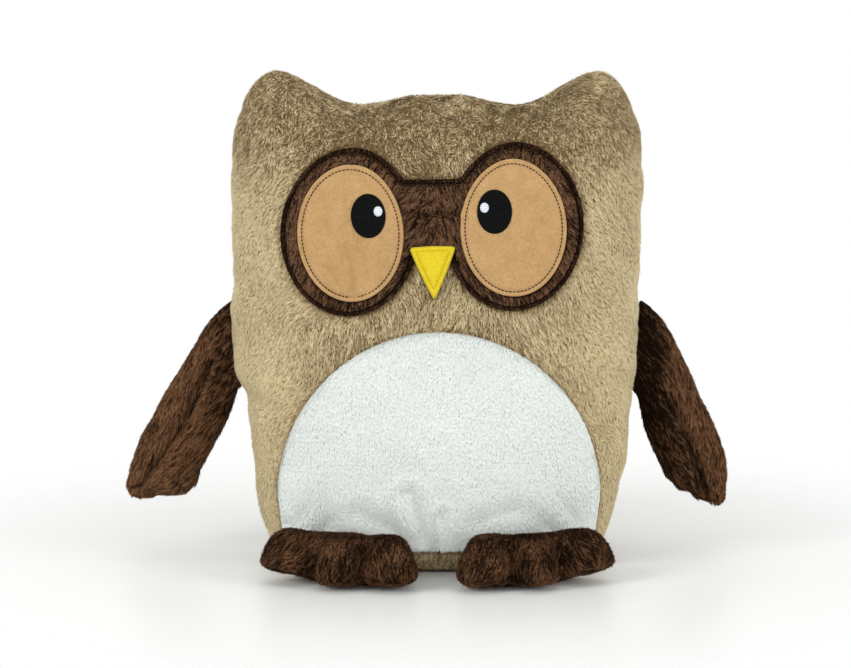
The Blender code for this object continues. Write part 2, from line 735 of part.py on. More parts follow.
clear_scene()
owl = new_collection("plush_owl")
cutters = new_collection("cutters")
tan_plush = make_material("tan plush", 0.392, 0.292, 0.145, 0.95)
brown_plush = make_material("dark brown plush", 0.065, 0.026, 0.014, 0.95)
white_plush = make_material("white plush", 0.82, 0.87, 0.84, 0.95)
tan_felt = make_material("tan felt", 0.708, 0.402, 0.171, 0.9)
black_felt = make_material("black embroidery", 0.008, 0.009, 0.011, 0.6)
white_thread = make_material("white embroidery", 0.72, 0.77, 0.82, 0.6)
yellow_felt = make_material("yellow felt", 0.888, 0.716, 0.024, 0.9)
fibre = make_material("fibre filling", 0.85, 0.85, 0.83, 1)
skins = {}
body_form = body_mesh()
body_tree = BVHTree.FromPolygons(
    [vert.co.copy() for vert in body_form.vertices],
    [tuple(face.vertices) for face in body_form.polygons],
)
build_body()
build_face()
build_belly()
build_wing(-1, "left", LEFT_WING_REACH, LEFT_WING_DROP, LEFT_WING_SLANT_SHARE, LEFT_WING_FULLNESS_SHARE)
build_wing(1, "right", RIGHT_WING_REACH, RIGHT_WING_DROP, RIGHT_WING_SLANT_SHARE, RIGHT_WING_FULLNESS_SHARE)
build_foot(-1, "left")
build_foot(1, "right")
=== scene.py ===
import json
import math
from functools import partial

import bmesh
import bpy
import numpy as np
from mathutils import Matrix, Vector, noise
from mathutils.bvhtree import BVHTree
from mathutils.geometry import delaunay_2d_cdt
from mathutils.interpolate import poly_3d_calc


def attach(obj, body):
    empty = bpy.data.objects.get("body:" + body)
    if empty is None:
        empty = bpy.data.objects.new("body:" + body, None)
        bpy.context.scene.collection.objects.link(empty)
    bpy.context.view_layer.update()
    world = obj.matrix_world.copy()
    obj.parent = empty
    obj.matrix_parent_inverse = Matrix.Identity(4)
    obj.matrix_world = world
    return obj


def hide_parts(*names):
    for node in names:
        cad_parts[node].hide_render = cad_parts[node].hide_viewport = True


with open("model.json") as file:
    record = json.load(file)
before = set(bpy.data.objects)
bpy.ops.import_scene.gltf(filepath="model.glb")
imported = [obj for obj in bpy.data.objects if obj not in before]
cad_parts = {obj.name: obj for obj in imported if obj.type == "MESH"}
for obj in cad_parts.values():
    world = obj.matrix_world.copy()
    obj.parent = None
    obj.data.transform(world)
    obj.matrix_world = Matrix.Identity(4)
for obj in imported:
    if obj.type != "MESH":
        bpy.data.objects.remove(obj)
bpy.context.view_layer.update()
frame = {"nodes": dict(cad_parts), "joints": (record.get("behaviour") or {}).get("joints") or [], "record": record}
scene = bpy.context.scene
mm, degree = 0.001, math.radians(1)
sides = ((-1, "left"), (1, "right"))
print("frame loaded,", len(frame["nodes"]), "nodes")


# one node with its settings; each input, in order or by key, takes a link or a plain value
def addNode(tree, kind, inputs=(), **settings):
    node = tree.nodes.new(kind)
    for key, value in settings.items():
        setattr(node, key, value)
    for key, value in inputs.items() if isinstance(inputs, dict) else enumerate(inputs):
        if isinstance(value, bpy.types.Node):
            value = value.outputs[0]
        if isinstance(value, bpy.types.NodeSocket):
            tree.links.new(value, node.inputs[key])
        else:
            node.inputs[key].default_value = value
    return node


# Materials


def hexColour(text):
    parts = [int(text[i : i + 2], 16) / 255 for i in (1, 3, 5)]
    return tuple(c / 12.92 if c <= 0.04045 else ((c + 0.055) / 1.055) ** 2.4 for c in parts) + (1,)


def fillRamp(node, places, colours):
    elements, stops = node.color_ramp.elements, list(zip(places, colours))
    for element, (place, colour) in zip(elements, (stops[0], stops[-1])):
        element.position, element.color = place, hexColour(colour)
    for place, colour in stops[1:-1]:
        elements.new(place).color = hexColour(colour)


def newMaterial(name, values):
    material = bpy.data.materials.new(name)
    material.use_nodes = True
    shader = material.node_tree.nodes["Principled BSDF"]
    for key, value in values.items():
        shader.inputs[key].default_value = value
    return material, material.node_tree, shader


# plush pile: crimped polyester fibres, matt; dark at the root and pale at the tip, painted shade of the roots deep
# in the pile's own shadow, so it reads as depth
pileColours = {
    "tanPlushPile": {
        "deep": ("#33200F", "#64492A", "#8A6A42"),
        "pale": ("#937850", "#DDC99A", "#F6EBC8"),
        "middle": 0.45, "gloss": 0.06, "sheen": 0.06, "tint": "#F0E2BC",
    },
    "brownPlushPile": {
        "deep": ("#040100", "#0F0703", "#1B0F08"),
        "pale": ("#2A180C", "#704D33", "#A67C5A"),
        "middle": 0.45, "gloss": 0.05, "sheen": 0.04, "tint": "#A88C74",
    },
    "maskPlushPile": {
        "deep": ("#080402", "#160C06", "#22140B"),
        "pale": ("#2C1B10", "#6E4F38", "#A37C5E"),
        "middle": 0.45, "gloss": 0.05, "sheen": 0.03, "tint": "#A88C74",
    },
    "whitePlushPile": {
        "deep": ("#CDD2CA", "#DDE2DC", "#E5EAE5"),
        "pale": ("#D8DDD6", "#E7EDE8", "#EEF3EF"),
        "middle": 0.4, "gloss": 0.08, "sheen": 0.04, "tint": "#FFFFFF",
    },
}


def pileMaterial(name, look):
    values = {"Roughness": 0.85, "Specular IOR Level": look["gloss"], "Sheen Weight": look["sheen"]}
    values |= {"Sheen Roughness": 0.4, "Sheen Tint": hexColour(look["tint"])}
    material, tree, shader = newMaterial(name, values)
    # the map's width is the tuft's own shade, its height runs from root to tip, along which the ramps paint the
    # roots dark as painted shade
    place = addNode(tree, "ShaderNodeUVMap", uv_map="OFBake")
    split = addNode(tree, "ShaderNodeSeparateXYZ", [place])
    tones = []
    for tone in ("deep", "pale"):
        tones.append(addNode(tree, "ShaderNodeValToRGB", [split.outputs[1]]))
        fillRamp(tones[-1], (0, look["middle"], 1), look[tone])
    mix = addNode(tree, "ShaderNodeMix", {0: split, 6: tones[0], 7: tones[1]}, data_type="RGBA")
    tree.links.new(mix.outputs[2], shader.inputs["Base Color"])
    return material


# knitted backing under the pile: seen only between tufts, so it is painted dark, as painted shade deep in the
# pile, and streaked along the nap, in streaks 1 mm wide and 4 mm long, the size of one clump of pile
knitBacking = {
    "stretch": (1000, 1000, 250),
    "texture": "ShaderNodeTexNoise",
    "pattern": {"Scale": 1, "Detail": 3},
    "places": (0.35, 0.65),
    "bump": 0.5,
    "height": 1 * mm,
    "shader": {"Roughness": 0.95, "Specular IOR Level": 0.05},
}
# pressed wool felt: short fibres at all angles, so a soft mottle, a fine nap and no gloss; real fibres
# are 0.03 mm, too fine to show, so the nap is drawn at 1.1 mm and the mottle at 7 mm
pressedFelt = {
    "texture": "ShaderNodeTexNoise",
    "pattern": {"Scale": 900, "Detail": 4, "Roughness": 0.65, "Distortion": 1.2},
    "specks": {"Scale": 140, "Detail": 2},
    "speckShare": 0.35,
    "places": (0.45, 0.68, 0.9),
    "bump": 0.5,
    "height": 0.3 * mm,
    "shader": {"Roughness": 0.9, "Specular IOR Level": 0.15, "Sheen Weight": 0.08, "Sheen Roughness": 0.5},
}
# rayon embroidery in satin stitch: threads side by side, so fine ridges with a soft gloss along them;
# they lie 0.4 mm apart, under a pixel, so they are drawn 0.9 mm apart
satinStitch = {
    "texture": "ShaderNodeTexWave",
    "settings": {"bands_direction": "Z", "wave_profile": "SIN"},
    "pattern": {"Scale": 350, "Distortion": 4, "Detail": 2, "Detail Scale": 2},
    "specks": {"Scale": 1100, "Detail": 3},
    "places": (0.15, 0.6),
    "bump": 0.5,
    "height": 0.25 * mm,
    "shader": {"Roughness": 0.6, "Specular IOR Level": 0.04},
}
glossySatin = satinStitch | {"shader": {"Roughness": 0.45, "Specular IOR Level": 0.3}}
# spun polyester sewing thread: twisted, slightly glossy
sewingThread = {
    "texture": "ShaderNodeTexWave",
    "settings": {"bands_direction": "DIAGONAL"},
    "pattern": {"Scale": 900, "Distortion": 0.5},
    "places": (0.2, 0.8),
    "shader": {"Roughness": 0.6, "Specular IOR Level": 0.15},
}
# hollow siliconised polyester fibre: white, loose and tangled, in strands about 2 mm across
looseFibre = {
    "texture": "ShaderNodeTexNoise",
    "pattern": {"Scale": 500, "Detail": 5, "Distortion": 2.5},
    "places": (0.35, 0.65),
    "bump": 0.8,
    "height": 1 * mm,
    "shader": {"Roughness": 0.9},
}
cloths = {
    # the backings' dark colours are painted shade under the pile
    "tanKnitBacking": (knitBacking, "#4E3F28", "#8C7A57"),
    "brownKnitBacking": (knitBacking, "#0C0603", "#2A1910"),
    "whiteKnitBacking": (knitBacking, "#D2D8D1", "#E4E9E3"),
    "tanPressedFelt": (pressedFelt, "#A18054", "#B38F60", "#C49F70"),
    "yellowPressedFelt": (pressedFelt | {"bump": 0.35}, "#C7AF1C", "#D6BF25", "#E0CB33"),
    "blackSatinStitch": (satinStitch, "#030403", "#161917"),
    "whiteSatinStitch": (glossySatin, "#C4CAD2", "#EEF2F6"),
    "darkBrownThread": (sewingThread, "#2A170C", "#4A2F1B"),
    "blackThread": (sewingThread, "#0A0705", "#1C130D"),
    "yellowThread": (sewingThread, "#B8A51A", "#D2BE28"),
    "fibreFilling": (looseFibre, "#C9C9C5", "#F0F0EC"),
}


# a cloth's look: a relief over the object, some with specks, coloured by a ramp and raised by a bump
def clothMaterial(name, look, *colours):
    material, tree, shader = newMaterial(name, look["shader"])
    place = addNode(tree, "ShaderNodeTexCoord").outputs["Object"]
    if "stretch" in look:
        place = addNode(tree, "ShaderNodeMapping", {0: place, 3: look["stretch"]})
    texture = addNode(tree, look["texture"], {0: place} | look["pattern"], **look.get("settings", {}))
    relief = tone = texture.outputs["Fac"]
    if "specks" in look:
        specks = addNode(tree, "ShaderNodeTexNoise", {0: place} | look["specks"])
        # felt's mottle adds to its nap, while specks break up the satin's ridges
        joined = (specks, look["speckShare"], relief) if "speckShare" in look else (specks, relief, 0)
        tone = addNode(tree, "ShaderNodeMath", joined, operation="MULTIPLY_ADD")
    ramp = addNode(tree, "ShaderNodeValToRGB", [tone])
    fillRamp(ramp, look["places"], colours)
    tree.links.new(ramp.outputs[0], shader.inputs["Base Color"])
    if "bump" in look:
        values = {"Strength": look["bump"], "Distance": look["height"], "Height": relief}
        bump = addNode(tree, "ShaderNodeBump", values)
        tree.links.new(bump.outputs[0], shader.inputs["Normal"])
    return material


looks = {name: pileMaterial(name, look) for name, look in pileColours.items()}
looks |= {name: clothMaterial(name, *cloth) for name, cloth in cloths.items()}
print("materials made")


# Helpers for meshes


def readVectors(rows, field):
    values = np.empty(len(rows) * 3, np.float32)
    rows.foreach_get(field, values)
    return values.reshape(-1, 3).astype(float)


def readPoints(mesh):
    return readVectors(mesh.vertices, "co")


def readNormals(mesh):
    return readVectors(mesh.vertex_normals, "vector")


def writePoints(mesh, points):
    mesh.vertices.foreach_set("co", points.astype(np.float32).ravel())
    mesh.update()


def pushOut(mesh, points, amount):
    points += readNormals(mesh) * np.reshape(amount, (-1, 1))
    writePoints(mesh, points)


# nothing on the mesh reaches under this height
def restOn(mesh, height):
    points = readPoints(mesh)
    points[:, 2] = np.maximum(points[:, 2], height)
    writePoints(mesh, points)


def storeValues(mesh, name, kind, values):
    field = "vector" if kind == "FLOAT_VECTOR" else "value"
    attribute = mesh.attributes.get(name) or mesh.attributes.new(name, kind, "POINT")
    attribute.data.foreach_set(field, np.asarray(values, np.float32).ravel())


def linked(name, data):
    item = bpy.data.objects.new(name, data)
    scene.collection.objects.link(item)
    return item


def asMesh(name, cage):
    mesh = bpy.data.meshes.new(name)
    cage.to_mesh(mesh)
    cage.free()
    return mesh


# tufts, stitches and covers are only there for the trees to use
aside = []


def setAside(name, mesh):
    aside.append(linked(name, mesh))
    aside[-1].hide_render = True
    return aside[-1]


# the finished mesh of an object with modifiers, which is then taken away
def bakedMesh(item):
    bpy.context.view_layer.update()
    graph = bpy.context.evaluated_depsgraph_get()
    shown = item.evaluated_get(graph)
    mesh = bpy.data.meshes.new_from_object(shown, preserve_all_data_layers=True, depsgraph=graph)
    mesh.name = item.name
    bpy.data.objects.remove(item, do_unlink=True)
    return mesh


def subdivided(name, mesh, levels):
    modifier = linked(name, mesh).modifiers.new("Subdivision", "SUBSURF")
    modifier.levels = modifier.render_levels = levels
    mesh = bakedMesh(modifier.id_data)
    mesh.name = name
    return mesh


def smoothCage(name, cage, levels):
    bmesh.ops.recalc_face_normals(cage, faces=cage.faces)
    if cage.calc_volume(signed=True) < 0:
        bmesh.ops.reverse_faces(cage, faces=cage.faces)
    return subdivided(name, asMesh(name, cage), levels)


def placeGrid(cage, columns, rows, place):
    made = bmesh.ops.create_grid(cage, x_segments=columns, y_segments=rows, size=1)
    for vert in made["verts"]:
        vert.co = place(round((vert.co.x + 1) / 2 * columns), round((vert.co.y + 1) / 2 * rows))


# piece is the dictionary that names its look, which is read here, and its material slot, which is not used
def addPiece(name, mesh, piece, body="torso", nodes=()):
    mesh.materials.clear()
    mesh.materials.append(looks[piece["look"]])
    mesh.shade_smooth()
    item = linked(name, mesh)
    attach(item, body)
    if nodes:
        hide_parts(*nodes)
    return item


def smoothStep(low, high, values):
    share = np.clip((values - low) / (high - low), 0, 1)
    return share * share * (3 - 2 * share)


def bell(values, width=1):
    return np.exp(-((values / width) ** 2))


noise.seed_set(7)  # or else Blender draws its vector noise anew in every run


def noiseAt(points, size, seed):
    shift = Vector((seed * 7.3, seed * 3.1, seed * 5.7))
    return np.array([noise.noise(Vector(p) / size + shift) for p in points])


def swirlAt(points, size, seed):
    shift = Vector((seed * 5.1, seed * 9.7, seed * 2.3))
    return np.array([noise.noise_vector(Vector(p) / size + shift) for p in points])


# blows a sewn bag up with cloth pressure, held where it is sewn, and caps how far it may move
def stuffBag(mesh, held, cloth):
    start = readPoints(mesh)
    item = linked("stuffing", mesh.copy())
    group = item.vertex_groups.new(name="sewn")
    for index in np.flatnonzero(held > 0.01):
        group.add([int(index)], float(held[index]), "REPLACE")
    modifier = item.modifiers.new("Cloth", "CLOTH")
    settings = modifier.settings
    settings.quality = 5
    settings.mass = 0.3
    settings.tension_stiffness = settings.compression_stiffness = 12
    settings.bending_stiffness = 0.3
    settings.shrink_min = -cloth["slack"]
    settings.use_pressure = True
    settings.uniform_pressure_force = cloth["pressure"]
    settings.vertex_group_mass = "sewn"
    settings.pin_stiffness = 1
    settings.effector_weights.gravity = 0
    modifier.point_cache.frame_start, modifier.point_cache.frame_end = 1, cloth["frames"]
    for step in range(1, cloth["frames"] + 1):
        scene.frame_set(step)
    graph = bpy.context.evaluated_depsgraph_get()
    moved = readPoints(item.evaluated_get(graph).data) - start
    bpy.data.objects.remove(item, do_unlink=True)
    scene.frame_set(1)
    far = np.linalg.norm(moved, axis=1, keepdims=True)
    cap = cloth["cap"] * mm
    writePoints(mesh, start + moved * cap * np.tanh(far / cap) / np.maximum(far, 1e-9))
    print("   ", mesh.name, "stuffed, moved up to", round(float(far.max()) / mm, 1), "mm")


# nearest distance from flat points to a line of points
def lineDistance(points, line):
    best = np.full(len(points), 1e9)
    for start, end in zip(line[:-1], line[1:]):
        span = end - start
        share = np.clip(((points - start) @ span) / (span @ span), 0, 1)
        best = np.minimum(best, np.linalg.norm(points - start - share[:, None] * span, axis=1))
    return best


# presses creases into a skin, with soft lips beside them; flat is the points as seen square on, and a
# fold is its depth and its width and then its points, all in mm
def pressFolds(mesh, flat, facing, folds):
    points, normals = readPoints(mesh), readNormals(mesh)
    for depth, width, *line in folds:
        gap = lineDistance(flat, np.array(line, float) * mm) / (width * mm)
        press = bell(gap) - 0.4 * bell(gap - 2.2)
        points -= normals * (press * facing * depth * mm)[:, None]
    writePoints(mesh, points)


# Pile and stitches, and the trees that lay them

# a closed three-sided tuft, one unit long, with a low ridge on top and wide underneath
tuftMesh = bpy.data.meshes.new("tuft")
corners = [(0.22, 0, 0), (-0.08, 0.5, 0), (-0.08, -0.5, 0), (0, 0, 1)]
tuftMesh.from_pydata(corners, [], [(2, 1, 0), (0, 1, 3), (1, 2, 3), (2, 0, 3)])
storeValues(tuftMesh, "along", "FLOAT", [0, 0, 0, 1])
storeValues(tuftMesh, "spin", "FLOAT", [0, 1, -1, 0])
tuft = setAside("tuft", tuftMesh)

# one stitch: a small capsule along X, flat underneath
cage = bmesh.new()
bmesh.ops.create_uvsphere(cage, u_segments=8, v_segments=5, radius=0.5)
for vert in cage.verts:
    vert.co = (vert.co.z, vert.co.x, max(vert.co.y, -0.2))
bmesh.ops.recalc_face_normals(cage, faces=cage.faces)
stitchShape = setAside("stitchShape", asMesh("stitchShape", cage))
noCover = setAside("noCover", bpy.data.meshes.new("noCover"))

# the numbers in a pile's dictionary, with the unit of each
pileUnits = {
    "Density": 1 / mm / mm, "Length": mm, "Width": mm, "Streak Width": mm,
    "Lean": degree, "Lean Spread": degree, "Turn Spread": degree,
    "Shade Spread": 1, "Streak": 1, "Softness": 1,
}


def newTree(name, **sockets):
    tree = bpy.data.node_groups.new(name, "GeometryNodeTree")
    for way in ("OUTPUT", "INPUT"):
        tree.interface.new_socket(name="Geometry", in_out=way, socket_type="NodeSocketGeometry")
    for kind, labels in sockets.items():
        for label in labels:
            tree.interface.new_socket(name=label, in_out="INPUT", socket_type="NodeSocket" + kind)
    add = partial(addNode, tree)
    return tree, add, add("NodeGroupInput").outputs, add("NodeGroupOutput")


def runTree(item, tree, values):
    modifier = item.modifiers.new(tree.name, "NODES")
    modifier.node_group = tree
    for socket in tree.interface.items_tree:
        if socket.in_out == "INPUT" and socket.name in values:
            modifier[socket.identifier] = values[socket.name]
    return bakedMesh(item)


# pile: tufts spread over a skin, each leaning along the nap, none where a sewn patch covers it
def makePileTree():
    tree, add, given, end = newTree(
        "layPile", Float=pileUnits, Int=["Seed"], Object=["Tuft", "Cover"], Material=["Material"]
    )
    brushed = {}
    for label in ("pileShare", "pileLong", "shade", "ruffle", "along", "spin", "comb", "skinNormal"):
        kind = "FLOAT_VECTOR" if label in ("comb", "skinNormal") else "FLOAT"
        brushed[label] = add("GeometryNodeInputNamedAttribute", [label], data_type=kind)
    density = add("ShaderNodeMath", (given["Density"], brushed["pileShare"]), operation="MULTIPLY")
    spreadOver = {"Mesh": given["Geometry"], "Density": density, "Seed": given["Seed"]}
    spread = add("GeometryNodeDistributePointsOnFaces", spreadOver)
    normal = spread.outputs["Normal"]
    # a ray straight out of the skin finds the patches that lie over it
    cover = add("GeometryNodeObjectInfo", [given["Cover"]]).outputs["Geometry"]
    spot = add("GeometryNodeInputPosition")
    rayFrom = {"Target Geometry": cover, "Source Position": spot, "Ray Direction": normal}
    ray = add("GeometryNodeRaycast", rayFrom | {"Ray Length": 20 * mm})
    tufts = add("GeometryNodeDeleteGeometry", (spread, ray.outputs["Is Hit"]), domain="POINT")
    # a random number for each tuft's turn, lean, width, height and shade
    chances = []
    for step, (low, high) in enumerate(((-1, 1), (-1, 1), (0.65, 1.25), (0.7, 1.15), (-1, 1)), 1):
        seed = add("ShaderNodeMath", (given["Seed"], step), operation="ADD")
        chance = add("FunctionNodeRandomValue", {2: low, 3: high, 8: seed}, data_type="FLOAT")
        chances.append(chance.outputs[1])
    # the comb's direction, turned a little and laid flat on the skin, is the nap
    turnBy = add("ShaderNodeMath", (chances[0], given["Turn Spread"]), operation="MULTIPLY")
    turned = add("ShaderNodeVectorRotate", {"Vector": brushed["comb"], "Axis": normal, "Angle": turnBy})
    rise = add("ShaderNodeVectorMath", (turned, normal), operation="DOT_PRODUCT").outputs["Value"]
    lifted = add("ShaderNodeVectorMath", {0: normal, "Scale": rise}, operation="SCALE")
    flat = add("ShaderNodeVectorMath", (turned, lifted), operation="SUBTRACT")
    nap = add("ShaderNodeVectorMath", [flat], operation="NORMALIZE")
    leanBy = (chances[1], given["Lean Spread"], given["Lean"])
    lean = add("ShaderNodeMath", leanBy, operation="MULTIPLY_ADD")
    cosine = add("ShaderNodeMath", [lean], operation="COSINE")
    sine = add("ShaderNodeMath", [lean], operation="SINE")
    along = add("ShaderNodeVectorMath", {0: nap, "Scale": cosine}, operation="SCALE")
    heading = add("ShaderNodeVectorMath", (normal, sine, along), operation="MULTIPLY_ADD")
    axes = {"primary_axis": "Z", "secondary_axis": "X"}
    facing = add("FunctionNodeAxesToRotation", (heading, normal), **axes)
    # clumps: noise smeared along the nap, so neighbours in a row share one shade and one length
    grain = add("ShaderNodeMath", (1, given["Streak Width"]), operation="DIVIDE")
    clump = 0
    for step in (-2, -1, 0, 1, 2):
        shift = add("ShaderNodeMath", (given["Streak Width"], step * 0.8), operation="MULTIPLY")
        beside = add("ShaderNodeVectorMath", (nap, shift, spot), operation="MULTIPLY_ADD")
        sample = add("ShaderNodeTexNoise", {0: beside, "Scale": grain, "Detail": 0})
        clump = add("ShaderNodeMath", (sample, clump), operation="ADD")
    for operation, amount in (("DIVIDE", 5), ("SUBTRACT", 0.5), ("MULTIPLY", 6)):
        clump = add("ShaderNodeMath", (clump, amount), operation=operation)
    wide = add("ShaderNodeMath", (chances[2], given["Width"]), operation="MULTIPLY")
    tall = add("ShaderNodeMath", (clump, 0.25, 1), operation="MULTIPLY_ADD")
    own = add("ShaderNodeMath", (chances[3], given["Length"]), operation="MULTIPLY")
    own = add("ShaderNodeMath", (own, brushed["pileLong"]), operation="MULTIPLY")
    tall = add("ShaderNodeMath", (own, tall), operation="MULTIPLY")
    size = add("ShaderNodeCombineXYZ", (wide, wide, tall))
    streak = add("ShaderNodeMath", (given["Streak"], brushed["ruffle"]), operation="MULTIPLY")
    change = add("ShaderNodeMath", (chances[4], given["Shade Spread"]), operation="MULTIPLY")
    change = add("ShaderNodeMath", (clump, streak, change), operation="MULTIPLY_ADD")
    tone = add("ShaderNodeMath", (brushed["shade"], change), operation="ADD")
    tone = add("ShaderNodeClamp", (tone, 0.03, 0.97))
    for label, kind, value in (("shade", "FLOAT", tone), ("skinNormal", "FLOAT_VECTOR", normal)):
        named = {0: tufts, 2: label, 3: value}
        tufts = add("GeometryNodeStoreNamedAttribute", named, data_type=kind, domain="POINT")
    shape = add("GeometryNodeObjectInfo", [given["Tuft"]]).outputs["Geometry"]
    laid = add("GeometryNodeInstanceOnPoints", {0: tufts, 2: shape, 5: facing, 6: size})
    real = add("GeometryNodeRealizeInstances", [laid])
    across = add("ShaderNodeMath", (brushed["spin"], 0.02, brushed["shade"]), operation="MULTIPLY_ADD")
    up = add("ShaderNodeMath", (brushed["along"], 0.9, 0.05), operation="MULTIPLY_ADD")
    onMap = {0: real, 2: "OFBake", 3: add("ShaderNodeCombineXYZ", (across, up))}
    mapped = add("GeometryNodeStoreNamedAttribute", onMap, data_type="FLOAT2", domain="CORNER")
    # fine fibres scatter light like the skin they grow on, so each tuft takes some of its normal
    blend = {0: given["Softness"], 4: add("GeometryNodeInputNormal"), 5: brushed["skinNormal"]}
    soft = add("ShaderNodeMix", blend, data_type="VECTOR").outputs[1]
    rounded = add("GeometryNodeSetMeshNormal", (mapped, soft), mode="FREE", domain="POINT")
    painted = add("GeometryNodeSetMaterial", {0: rounded, 2: given["Material"]})
    tree.links.new(painted.outputs[0], end.inputs[0])
    return tree


# stitches: one at each step along a sewn line, turned to lie on the cloth
def makeStitchTree():
    sizes = ["Pitch", "Length", "Width", "Height"]
    tree, add, given, end = newTree(
        "sewStitches", Float=sizes, Int=["Seed"], Object=["Stitch"], Material=["Material"]
    )
    curve = add("GeometryNodeMeshToCurve", [given["Geometry"]])
    spaced = add("GeometryNodeResampleCurve", {0: curve, "Length": given["Pitch"]}, mode="LENGTH")
    outward = add("GeometryNodeInputNamedAttribute", ["outward"], data_type="FLOAT_VECTOR")
    axes = {"primary_axis": "X", "secondary_axis": "Z"}
    facing = add("FunctionNodeAxesToRotation", (add("GeometryNodeInputTangent"), outward), **axes)
    vary = add("FunctionNodeRandomValue", {2: 0.8, 3: 1.12, 8: given["Seed"]}, data_type="FLOAT")
    long = add("ShaderNodeMath", (given["Length"], vary.outputs[1]), operation="MULTIPLY")
    size = add("ShaderNodeCombineXYZ", (long, given["Width"], given["Height"]))
    stitch = add("GeometryNodeObjectInfo", [given["Stitch"]]).outputs["Geometry"]
    laid = add("GeometryNodeInstanceOnPoints", {0: spaced, 2: stitch, 5: facing, 6: size})
    real = add("GeometryNodeRealizeInstances", [laid])
    painted = add("GeometryNodeSetMaterial", {0: real, 2: given["Material"]})
    tree.links.new(painted.outputs[0], end.inputs[0])
    return tree


pileTree, stitchTree = makePileTree(), makeStitchTree()


# grows pile on the part of a skin that zone picks, as one piece
def growPile(name, skin, pile, cover=noCover, body="torso", zone=lambda middle: True):
    cut = bmesh.new()
    cut.from_mesh(skin)
    unwanted = [face for face in cut.faces if not zone(face.calc_center_median())]
    bmesh.ops.delete(cut, geom=unwanted, context="FACES")
    values = {label: pile[label] * unit for label, unit in pileUnits.items()}
    values |= {"Seed": pile["Seed"], "Tuft": tuft, "Cover": cover, "Material": looks[pile["look"]]}
    mesh = runTree(linked(name, asMesh(name, cut)), pileTree, values)
    for label in ("comb", "pileShare", "pileLong", "ruffle", "shade", "along", "spin", "skinNormal"):
        if label in mesh.attributes:
            mesh.attributes.remove(mesh.attributes[label])
    restOn(mesh, 0.2 * mm)  # tips that would reach under the floor lie flat on it
    addPiece(name, mesh, pile, body)
    print("   ", name, sum(len(face.vertices) - 2 for face in mesh.polygons), "triangles")


# stores what the pile needs on a skin: its nap, how pale, dense and long it is, and how ruffled
def brushSkin(mesh, comb, shade, share=1.0, long=1.0, ruffle=1.0):
    storeValues(mesh, "comb", "FLOAT_VECTOR", comb)
    for name, values in (("shade", shade), ("pileShare", share), ("pileLong", long), ("ruffle", ruffle)):
        storeValues(mesh, name, "FLOAT", np.zeros(len(mesh.vertices)) + values)


# The body: two sheets that meet in the side and top seams, over a flat base, blown up like a bag

bodyShape = {
    "look": "tanKnitBacking",
    "slot": "tan_plush",
    "width": 215 * mm,
    "depth": 118 * mm,
    "height": 256.5 * mm,
    "floorCut": 0.5 * mm,
    "pileRoom": 1.1 * mm,  # the pile stands this far out of the skin, so the skin lies that much lower
    "section": 3.0,
    "baseRing": 0.1,
    "columns": (0, 0.21, 0.45, 0.66, 0.87, 1),
    "topSeam": (0.962, 0.950, 0.926, 0.98, 1.022, 0.965),
    "rows": (0, 0.07, 0.2, 0.36, 0.53, 0.7, 0.84, 0.94, 1),
    "rowWidth": (0.76, 0.85, 0.91, 0.95, 0.975, 0.99, 1.005, 0.945, 0.845),
    "rowDepth": (0.8, 0.9, 0.97, 1, 0.985, 0.93, 0.78, 0.47, 0),
    "cloth": {"pressure": 4, "slack": 0.015, "frames": 20, "cap": 2.5},
    "seamDepth": 1.6 * mm,
    "seamWidth": 2.4 * mm,
    # creases in the front, across and up, as the photograph shows them
    "folds": [
        (2, 1.6, (-14, 208.5), (-2, 209.5)),
        (2.4, 1.8, (-7, 188), (0, 187), (7, 188.5)),
        (1.6, 3.6, (-14.6, 44), (-10, 31), (-3.7, 15)),
        (1.2, 3, (2, 32), (1.5, 15)),
        (0.8, 4.5, (-40, 33), (-26, 27), (-14, 19)),
        (0.7, 4.5, (22, 30), (40, 35)),
        (1.4, 4, (88, 166), (100, 160)),
        (1.2, 4, (-98, 180), (-88, 174)),
        (1.2, 4, (80, 80), (97, 70)),
        (1.3, 5, (68, 134), (96, 122)),
        (1.6, 4, (84, 104), (102, 94)),
        (1.4, 4, (-101, 92), (-86, 86)),
        (1.0, 5, (-100, 150), (-84, 140)),
    ],
    # the sides as the photograph shows them, fuller over the wings' roots and uneven under them: the
    # side, and in mm the height, the spread and how far out
    "swells": [(-1, 132, 10, 1.2), (-1, 110, 24, 4), (-1, 86, 7, -3.4), (-1, 60, 22, -1.6)]
    + [(1, 112, 24, 0.9), (1, 58, 22, 2.4)],
    "wingRoots": (90, 142),  # the side seam is filled by the wing's edge between these heights, in mm
}


